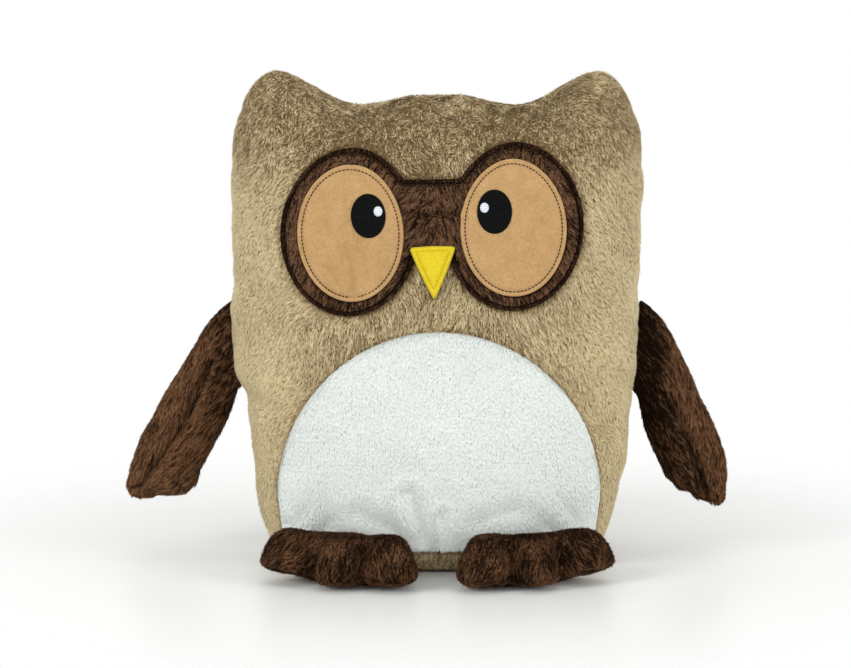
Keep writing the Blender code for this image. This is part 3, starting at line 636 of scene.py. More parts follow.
def buildBodySkin():
    shape, cage = bodyShape, bmesh.new()
    last = len(shape["columns"]) - 1
    for facing in (-1, 1):

        def place(column, row):
            share = shape["columns"][abs(column - last)]
            deep = (1 - share ** shape["section"]) ** (1 / shape["section"])
            x = math.copysign(share, column - last) * shape["rowWidth"][row]
            z = shape["topSeam"][abs(column - last)] * shape["rows"][row]
            return x, deep * shape["rowDepth"][row] * facing, z

        placeGrid(cage, 2 * last, len(shape["rows"]) - 1, place)
    bmesh.ops.remove_doubles(cage, verts=cage.verts, dist=0.3 * mm)
    rim = [edge for edge in cage.edges if edge.is_boundary]
    base = bmesh.ops.contextual_create(cage, geom=rim)["faces"]
    bmesh.ops.inset_region(cage, faces=base, thickness=shape["baseRing"], use_even_offset=False)
    mesh = smoothCage("bodySkin", cage, 3)
    points = readPoints(mesh)
    low, high = points.min(0), points.max(0)
    sizes = (shape["width"], shape["depth"], shape["height"] + shape["floorCut"])
    points = (points - (0, 0, low[2])) * np.array(sizes) / (high - low) - (0, 0, shape["floorCut"])
    writePoints(mesh, points)
    pushOut(mesh, points, -shape["pileRoom"])
    points = readPoints(mesh)
    # sewn round the sides and top, and flat underneath
    held = np.maximum(bell(points[:, 1], 3 * mm) * 0.8, 1 - smoothStep(4 * mm, 14 * mm, points[:, 2]))
    stuffBag(mesh, held, shape["cloth"])
    mesh = subdivided("bodySkin", mesh, 1)
    points = readPoints(mesh)
    # the side and top seam draws the skin in
    valley = bell(points[:, 1], shape["seamWidth"]) * smoothStep(3 * mm, 9 * mm, points[:, 2])
    (low, high), heights = shape["wingRoots"], points[:, 2] / mm
    valley *= 1 - smoothStep(low - 4, low + 2, heights) * (1 - smoothStep(high - 2, high + 4, heights))
    pushOut(mesh, points, -valley * shape["seamDepth"])
    for side, height, spread, out in shape["swells"]:
        beside = np.clip(points[:, 0] * side / (shape["width"] / 2), 0, 1) ** 3
        points[:, 0] += side * beside * bell(points[:, 2] / mm - height, spread) * out * mm
    writePoints(mesh, points)
    # small uneven swells of hand stuffing
    lumps = noiseAt(points, 38 * mm, 1) * 1.1 * mm + noiseAt(points, 16 * mm, 2) * 0.45 * mm
    pushOut(mesh, points, lumps * smoothStep(4 * mm, 20 * mm, points[:, 2]))
    facing = smoothStep(0.1, 0.5, -readNormals(mesh)[:, 1])
    pressFolds(mesh, points[:, (0, 2)], facing, shape["folds"])
    restOn(mesh, 0.3 * mm)  # flat where it stands
    return mesh


bodySkin = buildBodySkin()
bodySkin.calc_loop_triangles()
skinPoints, skinNormals = readPoints(bodySkin), readNormals(bodySkin)
skinCorners = [tuple(face.vertices) for face in bodySkin.loop_triangles]
skinTree = BVHTree.FromPolygons([Vector(p) for p in skinPoints], skinCorners)
print("body skin,", len(bodySkin.polygons), "faces")


# the point and the outward direction on the body's front, over a place on the face plane
def spotAt(x, z):
    hit, _, index, _ = skinTree.ray_cast(Vector((x, -0.3, z)), Vector((0, 1, 0)))
    corners = skinCorners[index]
    weights = poly_3d_calc([Vector(skinPoints[c]) for c in corners], hit)
    outward = sum((Vector(skinNormals[c]) * w for c, w in zip(corners, weights)), Vector())
    return hit, outward.normalized()


# the spot from which a point at this height over the skin shows at x and z
def spotUnder(x, z, rise):
    seenX, seenZ = x, z
    for turn in range(3):
        hit, outward = spotAt(seenX, seenZ)
        shown = hit + outward * rise
        seenX += x - shown.x
        seenZ += z - shown.z
    return spotAt(seenX, seenZ)


# Sewn patches: an outline laid on the body, with a rounded edge and a stitched groove


def evenOutline(points, spacing):
    closed = np.vstack([points, points[:1]])
    reach = np.concatenate([[0], np.cumsum(np.linalg.norm(np.diff(closed, axis=0), axis=1))])
    steps = np.linspace(0, reach[-1], max(int(round(reach[-1] / spacing)), 12), endpoint=False)
    return np.stack([np.interp(steps, reach, closed[:, axis]) for axis in (0, 1)], 1)


# how deep flat points lie inside an outline; outside is below zero
def depthInside(points, outline):
    start, end = outline, np.roll(outline, -1, 0)
    span = end - start
    away = points[:, None] - start[None]
    share = np.clip((away * span).sum(2) / (span**2).sum(1), 0, 1)
    gap = np.linalg.norm(away - share[..., None] * span, axis=2).min(1)
    rise = np.where(span[:, 1] == 0, 1e-12, span[:, 1])
    between = (start[:, 1] > points[:, 1:]) != (end[:, 1] > points[:, 1:])
    crossing = start[:, 0] + (points[:, 1:] - start[:, 1]) * span[:, 0] / rise
    inside = (between & (points[:, :1] < crossing)).sum(1) % 2 == 1
    return np.where(inside, gap, -gap)


def insetOutline(outline, depth):
    heading = np.roll(outline, -1, 0) - np.roll(outline, 1, 0)
    heading /= np.linalg.norm(heading, axis=1, keepdims=True)
    moved = outline + np.stack([-heading[:, 1], heading[:, 0]], 1) * depth
    return moved[depthInside(moved, outline) > depth * 0.97]


def roundOff(outline, turns):
    for turn in range(turns):
        outline = (np.roll(outline, 1, 0) + 2 * outline + np.roll(outline, -1, 0)) / 4
    return outline


def ellipse(width, height, lean=0, steps=160):
    angles = np.linspace(0, math.tau, steps, endpoint=False)
    x, z = width / 2 * np.cos(angles), height / 2 * np.sin(angles)
    return np.stack([x * math.cos(lean) - z * math.sin(lean), x * math.sin(lean) + z * math.cos(lean)], 1)


facePlace = {"height": 179.2 * mm, "shift": -2.7 * mm, "tilt": math.radians(1.9)}


def onFace(points, across=0.0, up=0.0):
    turn, place = facePlace["tilt"], np.asarray(points) + (across, up)
    x = place[:, 0] * math.cos(turn) - place[:, 1] * math.sin(turn)
    z = place[:, 0] * math.sin(turn) + place[:, 1] * math.cos(turn)
    return np.stack([x + facePlace["shift"], z + facePlace["height"]], 1)


def patchHeight(patch, depth):
    edge = np.clip(depth / (patch["edge"] * mm), 0, 1)
    height = patch["thickness"] * np.sqrt(np.clip(1 - (1 - edge) ** 2, 0, 1))
    if "groove" in patch:
        height -= patch["grooveDepth"] * bell(depth / mm - patch["groove"], patch["grooveWidth"])
    return height * mm


def sewPatch(name, outline, patch):
    outline = evenOutline(outline, patch["spacing"] * mm)
    rings = [0.25, 0.6, 1.05]
    if "groove" in patch:
        rings += [patch["groove"] + step * patch["grooveWidth"] for step in (-0.9, -0.3, 0.3, 0.9, 1.6)]
    else:
        rings.append(1.7)
    flats = [outline] + [insetOutline(outline, depth * mm) for depth in sorted(rings)]
    low, high, step = outline.min(0), outline.max(0), patch["grid"] * mm
    across, up = np.arange(low[0], high[0], step), np.arange(low[1], high[1], step * 0.87)
    grid = np.array([(x + (row % 2) * step / 2, z) for row, z in enumerate(up) for x in across])
    flats.append(grid[depthInside(grid, outline) > (max(rings) + patch["grid"] * 0.5) * mm])
    rim = len(outline)
    edges = [(i, (i + 1) % rim) for i in range(rim)]
    made = delaunay_2d_cdt([Vector(p) for p in np.vstack(flats)], edges, [], 1, 1e-7)
    flat = np.array([tuple(p) for p in made[0]])
    depth = np.maximum(depthInside(flat, outline), 0)
    depth[[i for i, came in enumerate(made[3]) if came and min(came) < rim]] = 0
    base, verts = [], []
    for (x, z), rise in zip(flat, patchHeight(patch, depth)):
        hit, outward = spotUnder(x, z, (patch["level"] + patch["thickness"] / 2) * mm)
        base.append(hit + outward * patch["level"] * mm)
        verts.append(base[-1] + outward * rise)
    # the underside shares the rim's points
    under = list(range(len(flat)))
    for i in np.flatnonzero(depth > 0):
        under[i] = len(verts)
        verts.append(base[i])
    faces = []
    for a, b, c in made[2]:
        # seen from the front, x runs right and z up, so the first faces the viewer
        faces += [(a, b, c), (under[c], under[b], under[a])]
    mesh = bpy.data.meshes.new(name)
    mesh.from_pydata([tuple(v) for v in verts], [], faces)
    shell = bmesh.new()
    shell.from_mesh(mesh)
    bmesh.ops.dissolve_degenerate(shell, edges=shell.edges, dist=1e-7)
    bmesh.ops.recalc_face_normals(shell, faces=shell.faces)
    shell.to_mesh(mesh)
    shell.free()
    return mesh


# a line of stitches along the groove of a patch
def sewLine(name, outline, patch, thread):
    depth = patch["groove"] * mm
    line = evenOutline(insetOutline(evenOutline(outline, 0.8 * mm), depth), 0.9 * mm)
    rise = float(patchHeight(patch, np.array([depth]))[0]) + patch["level"] * mm + thread["lift"] * mm
    verts, outwards = [], []
    for x, z in line:
        hit, outward = spotUnder(x, z, (patch["level"] + patch["thickness"] / 2) * mm)
        verts.append(tuple(hit + outward * rise))
        outwards.append(tuple(outward))
    mesh = bpy.data.meshes.new(name)
    mesh.from_pydata(verts, [(i, (i + 1) % len(verts)) for i in range(len(verts))], [])
    storeValues(mesh, "outward", "FLOAT_VECTOR", outwards)
    values = {label: thread[label] * mm for label in ("Pitch", "Length", "Width", "Height")}
    values |= {"Stitch": stitchShape, "Material": looks[thread["look"]], "Seed": 4}
    addPiece(name, runTree(linked(name, mesh), stitchTree, values), thread)


# The mask: a goggle shape of brown plush, topstitched near its edge

maskPatch = {
    "look": "brownKnitBacking",
    "slot": "brown_plush",
    "lobeWidth": 70.5 * mm,
    "lobeHeight": 83.5 * mm,
    "lobeLean": math.radians(6),
    "lobeSpacing": 84.5 * mm,
    "bridgeHeight": 38 * mm,
    "bridgeRise": 6.8 * mm,
    "level": 0.6,
    "thickness": 2.6,
    "edge": 0.9,
    "groove": 2.4,
    "grooveDepth": 1.9,
    "grooveWidth": 0.75,
    "spacing": 1.0,
    "grid": 1.8,
}


def maskOutline():
    shape = maskPatch
    top = shape["bridgeRise"] + shape["bridgeHeight"] / 2
    low = shape["bridgeRise"] - shape["bridgeHeight"] / 2
    lobe = ellipse(shape["lobeWidth"], shape["lobeHeight"], -shape["lobeLean"], 400)
    arcs = []
    for side in (1, -1):
        arc = lobe + (side * shape["lobeSpacing"] / 2, 0)
        inBridge = (side * arc[:, 0] < shape["lobeSpacing"] / 2) & (arc[:, 1] > low) & (arc[:, 1] < top)
        # start just after the stretch that the bridge covers
        arc = np.roll(arc, -np.flatnonzero(inBridge & ~np.roll(inBridge, -1))[0] - 1, 0)
        arcs.append(arc[: len(arc) - int(inBridge.sum())])
    return onFace(roundOff(evenOutline(np.vstack(arcs), 0.8 * mm), 3))


maskLine = maskOutline()
maskMesh = sewPatch("maskPatch", maskLine, maskPatch)
print("mask patch,", len(maskMesh.polygons), "faces")

# The eyes: felt ovals with a line of dark stitches, satin stitched pupils and glints, each set by how
# far it lies out and up from the one under it

eyePatch = {
    "look": "tanPressedFelt",
    "slot": "tan_felt",
    "width": 54.4 * mm,
    "height": 68.4 * mm,
    "out": 41.6 * mm,
    "up": 0,
    "level": 3.3,
    "thickness": 1.5,
    "edge": 0.7,
    "groove": 2.4,
    "grooveDepth": 0.9,
    "grooveWidth": 0.85,
    "spacing": 1.1,
    "grid": 1.1,
    # the cloth of the left eye is slightly puckered
    "puckers": [
        (0.85, 1.0, (-47, 172), (-44, 161), (-42.5, 148)),
        (0.55, 1.0, (-56, 160), (-50, 151)),
        (0.45, 1.0, (-38, 166), (-35, 150)),
    ],
}
eyeThread = {"look": "darkBrownThread", "slot": "tan_felt", "Pitch": 2, "Length": 1.7}
eyeThread |= {"Width": 0.75, "Height": 0.6, "lift": 0.1}
pupilPatch = {
    "look": "blackSatinStitch",
    "slot": "black_stitch",
    "width": 17.9 * mm,
    "height": 22.2 * mm,
    "out": -9.4 * mm,
    "up": 9.1 * mm,
    "level": 4.7,
    "thickness": 0.9,
    "edge": 0.7,
    "spacing": 0.8,
    "grid": 1.3,
}
glintPatch = {
    "look": "whiteSatinStitch",
    "slot": "white_stitch",
    "width": 4.7 * mm,
    "height": 5.2 * mm,
    "out": -5.1 * mm,
    "up": 2.3 * mm,
    "level": 5.4,
    "thickness": 0.7,
    "edge": 0.7,
    "spacing": 0.5,
    "grid": 0.7,
}
eyeMeshes = []
for side, word in sides:
    across, up = 0, 0
    for label, node, patch in (
        ("eyeFelt", "eye", eyePatch), ("pupil", "pupil", pupilPatch), ("glint", "glint", glintPatch)
    ):
        across += side * patch["out"]
        up += patch["up"]
        outline = onFace(ellipse(patch["width"], patch["height"]), across, up)
        mesh = sewPatch(f"{label}.{word}", outline, patch)
        if patch is eyePatch and side < 0:
            facing = smoothStep(0.2, 0.5, -readNormals(mesh)[:, 1])
            pressFolds(mesh, readPoints(mesh)[:, (0, 2)], facing, patch["puckers"])
        addPiece(f"{label}.{word}", mesh, patch, "torso", [f"{node}_{word}"])
        if patch is eyePatch:
            eyeMeshes.append(mesh)
            sewLine("eyeStitches." + word, outline, patch, eyeThread)
print("eyes sewn")

# The beak: a padded triangle of yellow felt with a topstitch

beakPatch = {
    "look": "yellowPressedFelt",
    "slot": "yellow_felt",
    "width": 24.4 * mm,
    "length": 27.6 * mm,
    "drop": 7.3 * mm,
    "bulge": 0.5 * mm,
    "level": 2,
    "thickness": 3.9,
    "edge": 1.6,
    "groove": 2.6,
    "grooveDepth": 0.9,
    "grooveWidth": 0.6,
    "spacing": 0.8,
    "grid": 1.5,
}
beakThread = {"look": "yellowThread", "slot": "yellow_felt", "Pitch": 2, "Length": 1.6}
beakThread |= {"Width": 0.45, "Height": 0.4, "lift": 0.1}


def beakOutline():
    half, length, bulge = beakPatch["width"] / 2, beakPatch["length"], beakPatch["bulge"]
    corners = np.array([(-half, 0), (0, -length), (half, 0)])
    line = []
    for start, end in zip(corners, np.roll(corners, -1, 0)):
        span = end - start
        outward = np.array([span[1], -span[0]]) / np.linalg.norm(span)
        for share in np.linspace(0, 1, 24, endpoint=False):
            line.append(start + span * share + outward * bulge * math.sin(math.pi * share))
    return onFace(roundOff(evenOutline(np.array(line), 0.5 * mm), 14), 0, -beakPatch["drop"])


beakLine = beakOutline()
beakMesh = sewPatch("beakFelt", beakLine, beakPatch)
addPiece("beakFelt", beakMesh, beakPatch, "torso", ["beak"])
sewLine("beakStitches", beakLine, beakPatch, beakThread)
print("beak sewn")

# The belly: a dome of white plush

bellyPatch = {
    "look": "whiteKnitBacking",
    "slot": "white_plush",
    "width": 166 * mm,
    "height": 115 * mm,
    "bottom": 13 * mm,
    "straight": 26 * mm,
    "taper": 3 * mm,
    "shift": 1 * mm,
    "level": 0.2,
    "thickness": 1.9,
    "edge": 1.6,
    "spacing": 1.6,
    "grid": 2.4,
}


def bellyOutline():
    shape = bellyPatch
    half, centre, foot = shape["width"] / 2, shape["bottom"] + shape["straight"], shape["bottom"]
    angles = np.linspace(0, math.pi, 120)
    domeHeight = (shape["height"] - shape["straight"]) * np.sin(angles)
    dome = np.stack([half * np.cos(angles), centre + domeHeight], 1)
    feet = np.array([(-half + shape["taper"], foot), (half - shape["taper"], foot)])
    return np.vstack([dome, feet]) + (shape["shift"], 0)


bellyLine = bellyOutline()
bellyMesh = sewPatch("bellyPatch", bellyLine, bellyPatch)
print("belly patch,", len(bellyMesh.polygons), "faces")


# Pile of the torso


def coverOf(name, meshes):
    joined = bmesh.new()
    for mesh in meshes:
        joined.from_mesh(mesh)
    return setAside(name, asMesh(name, joined))


bodyPile = {
    "look": "tanPlushPile", "slot": "tan_plush", "Seed": 11,
    "Density": 2.45, "Length": 2.3, "Width": 0.9, "Lean": 24, "Lean Spread": 9, "Turn Spread": 14,
    "Shade Spread": 0.12, "Streak": 0.5, "Streak Width": 0.85, "Softness": 0.6,
}
# the zones of the body's pile: front or not, and between which heights in metres
bodyZones = {
    "FrontTop": (True, 0.195, 1),
    "FrontMiddle": (True, 0.11, 0.195),
    "FrontLow": (True, -1, 0.11),
    "BackTop": (False, 0.2, 1),
    "BackHigh": (False, 0.145, 0.2),
    "BackMiddle": (False, 0.095, 0.145),
    "BackLow": (False, 0.045, 0.095),
    "BackFoot": (False, -1, 0.045),
}


def brushBody(mesh):
    points = readPoints(mesh)
    x, z = points[:, 0], points[:, 2]
    head = smoothStep(192 * mm, 222 * mm, z)  # handled most over the forehead and ears, so ruffled there
    head *= 1 - 0.65 * smoothStep(-6 * mm, 12 * mm, points[:, 1])
    comb = swirlAt(points, 42 * mm, 3) * 0.9 + swirlAt(points, 15 * mm, 4) * 0.35
    comb += swirlAt(points, 6 * mm, 26) * (0.15 + 0.95 * head)[:, None]
    comb[:, 0] += x / (150 * mm)  # the nap parts outwards towards the sides
    comb[:, 2] -= 1
    shade = 0.54 + noiseAt(points, 24 * mm, 5) * 0.2 + noiseAt(points, 4 * mm, 6) * (0.05 + 0.22 * head)
    # painted shade on the forehead and ears, which face up away from the side lamps, partly also from their
    # ruffled nap; painted light on the sides, the right ear and the far left, which face the side lamps and catch
    # a grazing sheen
    shade -= 0.24 * head
    shade += 0.3 * smoothStep(50 * mm, 95 * mm, np.abs(x)) * (1 - head)
    shade += 0.18 * smoothStep(40 * mm, 80 * mm, x) * head + 0.07 * smoothStep(60 * mm, 95 * mm, -x)
    # painted shade: the pile is darkened along the seams of the belly and the mask, in the shadow of their
    # crevices
    for line in (bellyLine, maskLine[::4]):
        beside = lineDistance(points[:, (0, 2)], np.vstack([line, line[:1]]))
        shade -= 0.42 * bell(beside, 1.4 * mm) * (points[:, 1] < 0)
    long = 0.55 + 0.45 * smoothStep(3 * mm, 14 * mm, z)
    ruffle = 0.85 + 0.7 * head - (0.2 + 0.3 * head) * smoothStep(40 * mm, 85 * mm, x)
    brushSkin(mesh, comb, shade, smoothStep(1.5 * mm, 4 * mm, z), long, ruffle)


brushBody(bodySkin)
bodyCover = coverOf("bodyCover", [maskMesh, bellyMesh, beakMesh])
for turn, (name, (front, low, high)) in enumerate(bodyZones.items()):
    pile = bodyPile | {"Seed": bodyPile["Seed"] + turn}
    if name == "FrontTop":
        pile |= {"Length": 2.0, "Width": 0.78, "Streak Width": 0.6}  # rubbed into smaller curls
    if not front:
        pile["Density"] = 2.2
    inZone = lambda middle: (middle.y < 0) == front and low <= middle.z < high
    growPile("bodyPile" + name, bodySkin, pile, bodyCover, zone=inZone)
bodyNodes = ["body_front_panel", "body_back_panel", "base_panel"]
addPiece("bodySkin", bodySkin, bodyShape, "torso", bodyNodes)

maskPile = {
    "look": "maskPlushPile", "slot": "brown_plush", "Seed": 21,
    "Density": 4.0, "Length": 2.1, "Width": 0.8, "Lean": 20, "Lean Spread": 9, "Turn Spread": 16,
    "Shade Spread": 0.18, "Streak": 0.85, "Streak Width": 0.95, "Softness": 0.35,
    "crease": [(-16, 189.5), (-6, 188), (2, 187.5), (12, 189.5)],  # over the beak, in mm
}
maskThread = {"look": "blackThread", "slot": "brown_plush", "Pitch": 2.4, "Length": 2.4}
maskThread |= {"Width": 0.45, "Height": 0.35, "lift": 0}


def brushMask(mesh):
    points = readPoints(mesh)
    comb = swirlAt(points, 20 * mm, 7) * 0.8
    comb[:, 0] += np.sign(points[:, 0]) * 0.35
    comb[:, 2] -= 1
    shade = 0.42 + noiseAt(points, 12 * mm, 8) * 0.4
    # painted light: the mask's outer left side is painted paler, facing the key lamp
    shade += 0.16 * smoothStep(52 * mm, 66 * mm, -points[:, 0])
    flat = points[:, (0, 2)]
    # painted shade along the crease over the beak
    shade -= 0.4 * bell(lineDistance(flat, np.array(maskPile["crease"]) * mm), 1.5 * mm)
    outer = depthInside(flat, maskLine) / mm
    share = (outer > 0.2) * (1 - 0.95 * bell(outer - 2.4, 0.7))  # thin along the stitches
    share *= readNormals(mesh)[:, 1] < 0.3
    shade += 0.14 * smoothStep(200 * mm, 218 * mm, points[:, 2]) * smoothStep(2.4, 4, outer)
    shade -= 0.3 * (1 - smoothStep(1.6, 2.8, outer))
    brushSkin(mesh, comb, shade, share, 0.26 + 0.74 * smoothStep(2.6, 4.4, outer))


brushMask(maskMesh)
growPile("maskPile", maskMesh, maskPile, coverOf("eyeCover", eyeMeshes + [beakMesh]))
addPiece("maskPatch", maskMesh, maskPatch, "torso", ["mask_patch"])
sewLine("maskStitches", maskLine, maskPatch, maskThread)

bellyPile = {
    "look": "whitePlushPile", "slot": "white_plush", "Seed": 31,
    "Density": 2.75, "Length": 2.6, "Width": 1.15, "Lean": 12, "Lean Spread": 3, "Turn Spread": 12,
    "Shade Spread": 0.12, "Streak": 0.18, "Streak Width": 1.0, "Softness": 0.85,
}


def brushBelly(mesh):
    points = readPoints(mesh)
    comb = swirlAt(points, 30 * mm, 9) * 0.9
    comb[:, 2] -= 1
    shade = 0.5 + noiseAt(points, 14 * mm, 10) * 0.2
    # painted light: paler towards the bottom, where the belly turns down away from the lamps
    shade += 0.3 * (1 - smoothStep(30 * mm, 70 * mm, points[:, 2]))
    brushSkin(mesh, comb, shade, readNormals(mesh)[:, 1] < 0.3)


brushBelly(bellyMesh)
growPile("bellyPile", bellyMesh, bellyPile)
addPiece("bellyPatch", bellyMesh, bellyPatch, "torso", ["belly_patch"])
print("torso pile grown")

# The limbs: flat stuffed bags sewn into the body's seams, each built in the frame of its hinge


# the frame in which a limb is drawn: its hinge runs along z on a wing and along x on a foot
def hingeFrame(body):
    joint = next(j for j in frame["joints"] if j["child"] == body)
    axis = Vector(joint["axis"])
    if body.startswith("wing"):
        z = axis if axis.z > 0 else -axis
        x = Vector((0, 1, 0)).cross(z)
    else:
        z = Vector((0, 0, 1))
        x = -axis
    return Matrix.Translation(Vector(joint["pos_m"])) @ Matrix((x, z.cross(x), z)).transposed().to_4x4()


# a limb's bag: its cage smoothed, drawn out to its box, and stuffed while its seam and its root are held
def sewBag(name, cage, levels, box, shape):
    bmesh.ops.remove_doubles(cage, verts=cage.verts, dist=0.03 * mm)
    mesh = smoothCage(name, cage, levels)
    points = readPoints(mesh)
    for axis, (low, high) in enumerate(box):
        values = points[:, axis]
        lowScale = low / values.min() if low else 1
        highScale = high / values.max() if high else 1
        points[:, axis] = np.where(values < 0, values * lowScale, values * highScale)
    # room for the pile all round, without blunting the thin edges
    low, high = points.min(0), points.max(0)
    middle = (low + high) / 2
    points = middle + (points - middle) * (1 - 2 * np.array(shape["pileRoom"]) * mm / (high - low))
    writePoints(mesh, points)
    seamAxis, rootAxis, low, high = shape["held"]
    root = 1 - smoothStep(low, high, np.abs(points[:, rootAxis]))
    stuffBag(mesh, np.maximum(bell(points[:, seamAxis], 1.2 * mm), root) * 0.9, shape["cloth"])
    return subdivided(name, mesh, 1)


wingShape = {
    "look": "brownKnitBacking",
    "slot": "brown_plush",
    "thickness": 25 * mm,
    "bead": 4.5 * mm,  # the edge goes through the side seam into the body
    "rootShare": 0.482,
    "leadReach": (0, 0.19, 0.41, 0.61, 0.81, 0.965, 1.055, 0.95),
    "leadDrop": (0, 0.092, 0.265, 0.421, 0.587, 0.738, 0.879, 0.955),
    "trailReach": (0, 0.02, 0.055, 0.14, 0.23, 0.31, 0.4, 0.53),
    "trailDrop": (0.492, 0.549, 0.619, 0.694, 0.779, 0.858, 0.93, 0.975),
    "rowThickness": (0.17, 0.46, 0.8, 0.98, 1, 0.92, 0.68, 0),
    "columnThickness": (0, 0.86, 1, 0.86, 0),
    "tipBulge": 0.012,
    "full": (0.3, 1, 1, 1, 1, 0.8, -0.2, -0.8),
    "tipSlant": (0, 0, 0, 0, 0.05, 0.3, 0.65, 1),
    "pileRoom": (0.5, 1.1, 0.6),  # mm across, through and along the wing
    # the axes through the seam and away from the root, and between which distances the hold fades
    "held": (1, 0, 4 * mm, 14 * mm),
    "cloth": {"pressure": 3, "slack": 0.015, "frames": 16, "cap": 1.2},
}
# folds and the line where the nap parts run out and up from the hinge, in mm
# the wings' shades are painted light and shade of one brown plush: the left wing paler, facing the key lamp, the
# right darker in the body's shadow with a lit outer strip, and both with a painted shadow at the root
wings = {
    "left": {
        "side": -1,
        "reach": 61.5 * mm,
        "drop": 107.5 * mm,
        "slant": 0.01,
        "fullness": 0,
        "folds": [(3.0, 2.0, (12, -36), (27, -65), (55, -101)), (1.2, 2.5, (24, -84), (34, -98))],
        "parting": [(12, -36), (27, -65), (55, -101)],
        "shade": 0.62,
        "outerPaintedLight": 0.0,
        "innerPaintedShadow": 0.0,
        "rootPaintedShadow": 0.36,
    },
    "right": {
        "side": 1,
        "reach": 51.5 * mm,
        "drop": 110.5 * mm,
        "slant": 0.11,
        "fullness": 0.065,
        "folds": [(3.0, 2.3, (14, -52), (30, -78), (42, -107)), (1.2, 2.5, (16, -58), (27, -64))],
        "parting": [(3, 0), (14, -28), (14, -50), (30, -78), (42, -107)],
        "shade": 0.32,
        "outerPaintedLight": 0.2,
        "innerPaintedShadow": -0.26,
        "rootPaintedShadow": 0.2,
    },
}
wingPile = {
    "look": "brownPlushPile", "slot": "brown_plush", "Seed": 41,
    "Density": 2.6, "Length": 3.0, "Width": 0.95, "Lean": 16, "Lean Spread": 8, "Turn Spread": 12,
    "Shade Spread": 0.18, "Streak": 0.68, "Streak Width": 1.0, "Softness": 0.4,
}


def buildWing(side, word):
    shape, wing, cage = wingShape, wings[word], bmesh.new()
    reach, drop = wing["reach"], wing["drop"]
    columns, rows = len(shape["columnThickness"]) - 1, len(shape["leadReach"])
    for facing in (-1, 1):

        def place(column, row):
            share = column / columns
            if row == 0:
                return -side * shape["bead"], 0, -drop * shape["rootShare"] * share
            spot = row - 1
            lead = shape["leadReach"][spot] + wing["fullness"] * shape["full"][spot]
            x = lead * (1 - share) + shape["trailReach"][spot] * share
            z = shape["leadDrop"][spot] * (1 - share) + shape["trailDrop"][spot] * share
            z -= wing["slant"] * share * shape["tipSlant"][spot]
            bulge = shape["tipBulge"] if row == rows and column == columns / 2 else 0
            thick = shape["rowThickness"][spot] * shape["columnThickness"][column] * shape["thickness"] / 2
            return side * reach * (x + bulge), facing * thick, -drop * (z + bulge)

        placeGrid(cage, columns, rows, place)
    half = shape["thickness"] / 2
    box = ((-reach if side < 0 else 0, reach if side > 0 else 0), (-half, half), (-drop, 0))
    mesh = sewBag("wingSkin." + word, cage, 3, box, shape)
    points = readPoints(mesh)
    flat = np.stack([points[:, 0] * side, points[:, 2]], 1)
    pressFolds(mesh, flat, smoothStep(0.2, 0.6, np.abs(readNormals(mesh)[:, 1])), wing["folds"])
    points = readPoints(mesh)
    pushOut(mesh, points, noiseAt(points, 17 * mm, 12 + side) * 1.0 * mm)
    # the tip was turned out unevenly
    ragged = swirlAt(points, 8 * mm, 34 + side) * (1.8 * mm, 0.4 * mm, 1.8 * mm)
    points += ragged * smoothStep(88 * mm, 104 * mm, -points[:, 2])[:, None]
    writePoints(mesh, points)
    # the nap runs down the wing and turns in towards the crease
    line = np.array(wing["folds"][0][2:], float) * mm
    heading = line[-1] - line[0]
    heading /= np.linalg.norm(heading)
    outer = np.array([-heading[1], heading[0]])
    parting = np.array(wing["parting"], float) * mm
    beside = flat[:, 0] - np.interp(-flat[:, 1], -parting[:, 1], parting[:, 0])
    nap = heading - 0.5 * np.tanh(beside / (6 * mm))[:, None] * outer
    comb = np.stack([nap[:, 0] * side, np.zeros(len(flat)), nap[:, 1]], 1)
    comb += swirlAt(points, 20 * mm, 14 + side) * 0.35
    # painted light and shade: the outer strip painted paler where it is lit, painted shadow inside the parting and
    # at the root where the body shades the wing, and painted shade along the crease
    shade = wing["shade"] + noiseAt(points, 12 * mm, 16 + side) * 0.2
    shade += wing["outerPaintedLight"] * smoothStep(-1 * mm, 4 * mm, beside)
    high = 0.5 + 0.5 * smoothStep(-86 * mm, -56 * mm, flat[:, 1])
    shade += wing["innerPaintedShadow"] * smoothStep(-1 * mm, 4 * mm, -beside) * high
    shade -= wing["rootPaintedShadow"] * (1 - smoothStep(4 * mm, 20 * mm, flat[:, 0]))
    shade -= 0.3 * bell(lineDistance(flat, line), 1.8 * mm)
    place = hingeFrame("wing_" + word)
    mesh.transform(place)
    brushSkin(mesh, comb @ np.array(place.to_3x3()).T, shade)
    return mesh


for side, word in sides:
    wingSkin, body = buildWing(side, word), "wing_" + word
    pile = wingPile | {"Seed": wingPile["Seed"] + side}
    for label, front in (("Front", True), ("Back", False)):
        inZone = lambda middle: (middle.y < 0) == front
        growPile(f"wingPile{label}.{word}", wingSkin, pile, body=body, zone=inZone)
    nodes = [body + "_front_panel", body + "_back_panel"]
    addPiece("wingSkin." + word, wingSkin, wingShape, body, nodes)
print("wings sewn")

# The feet: stuffed bags with three toes, sewn into the base seam

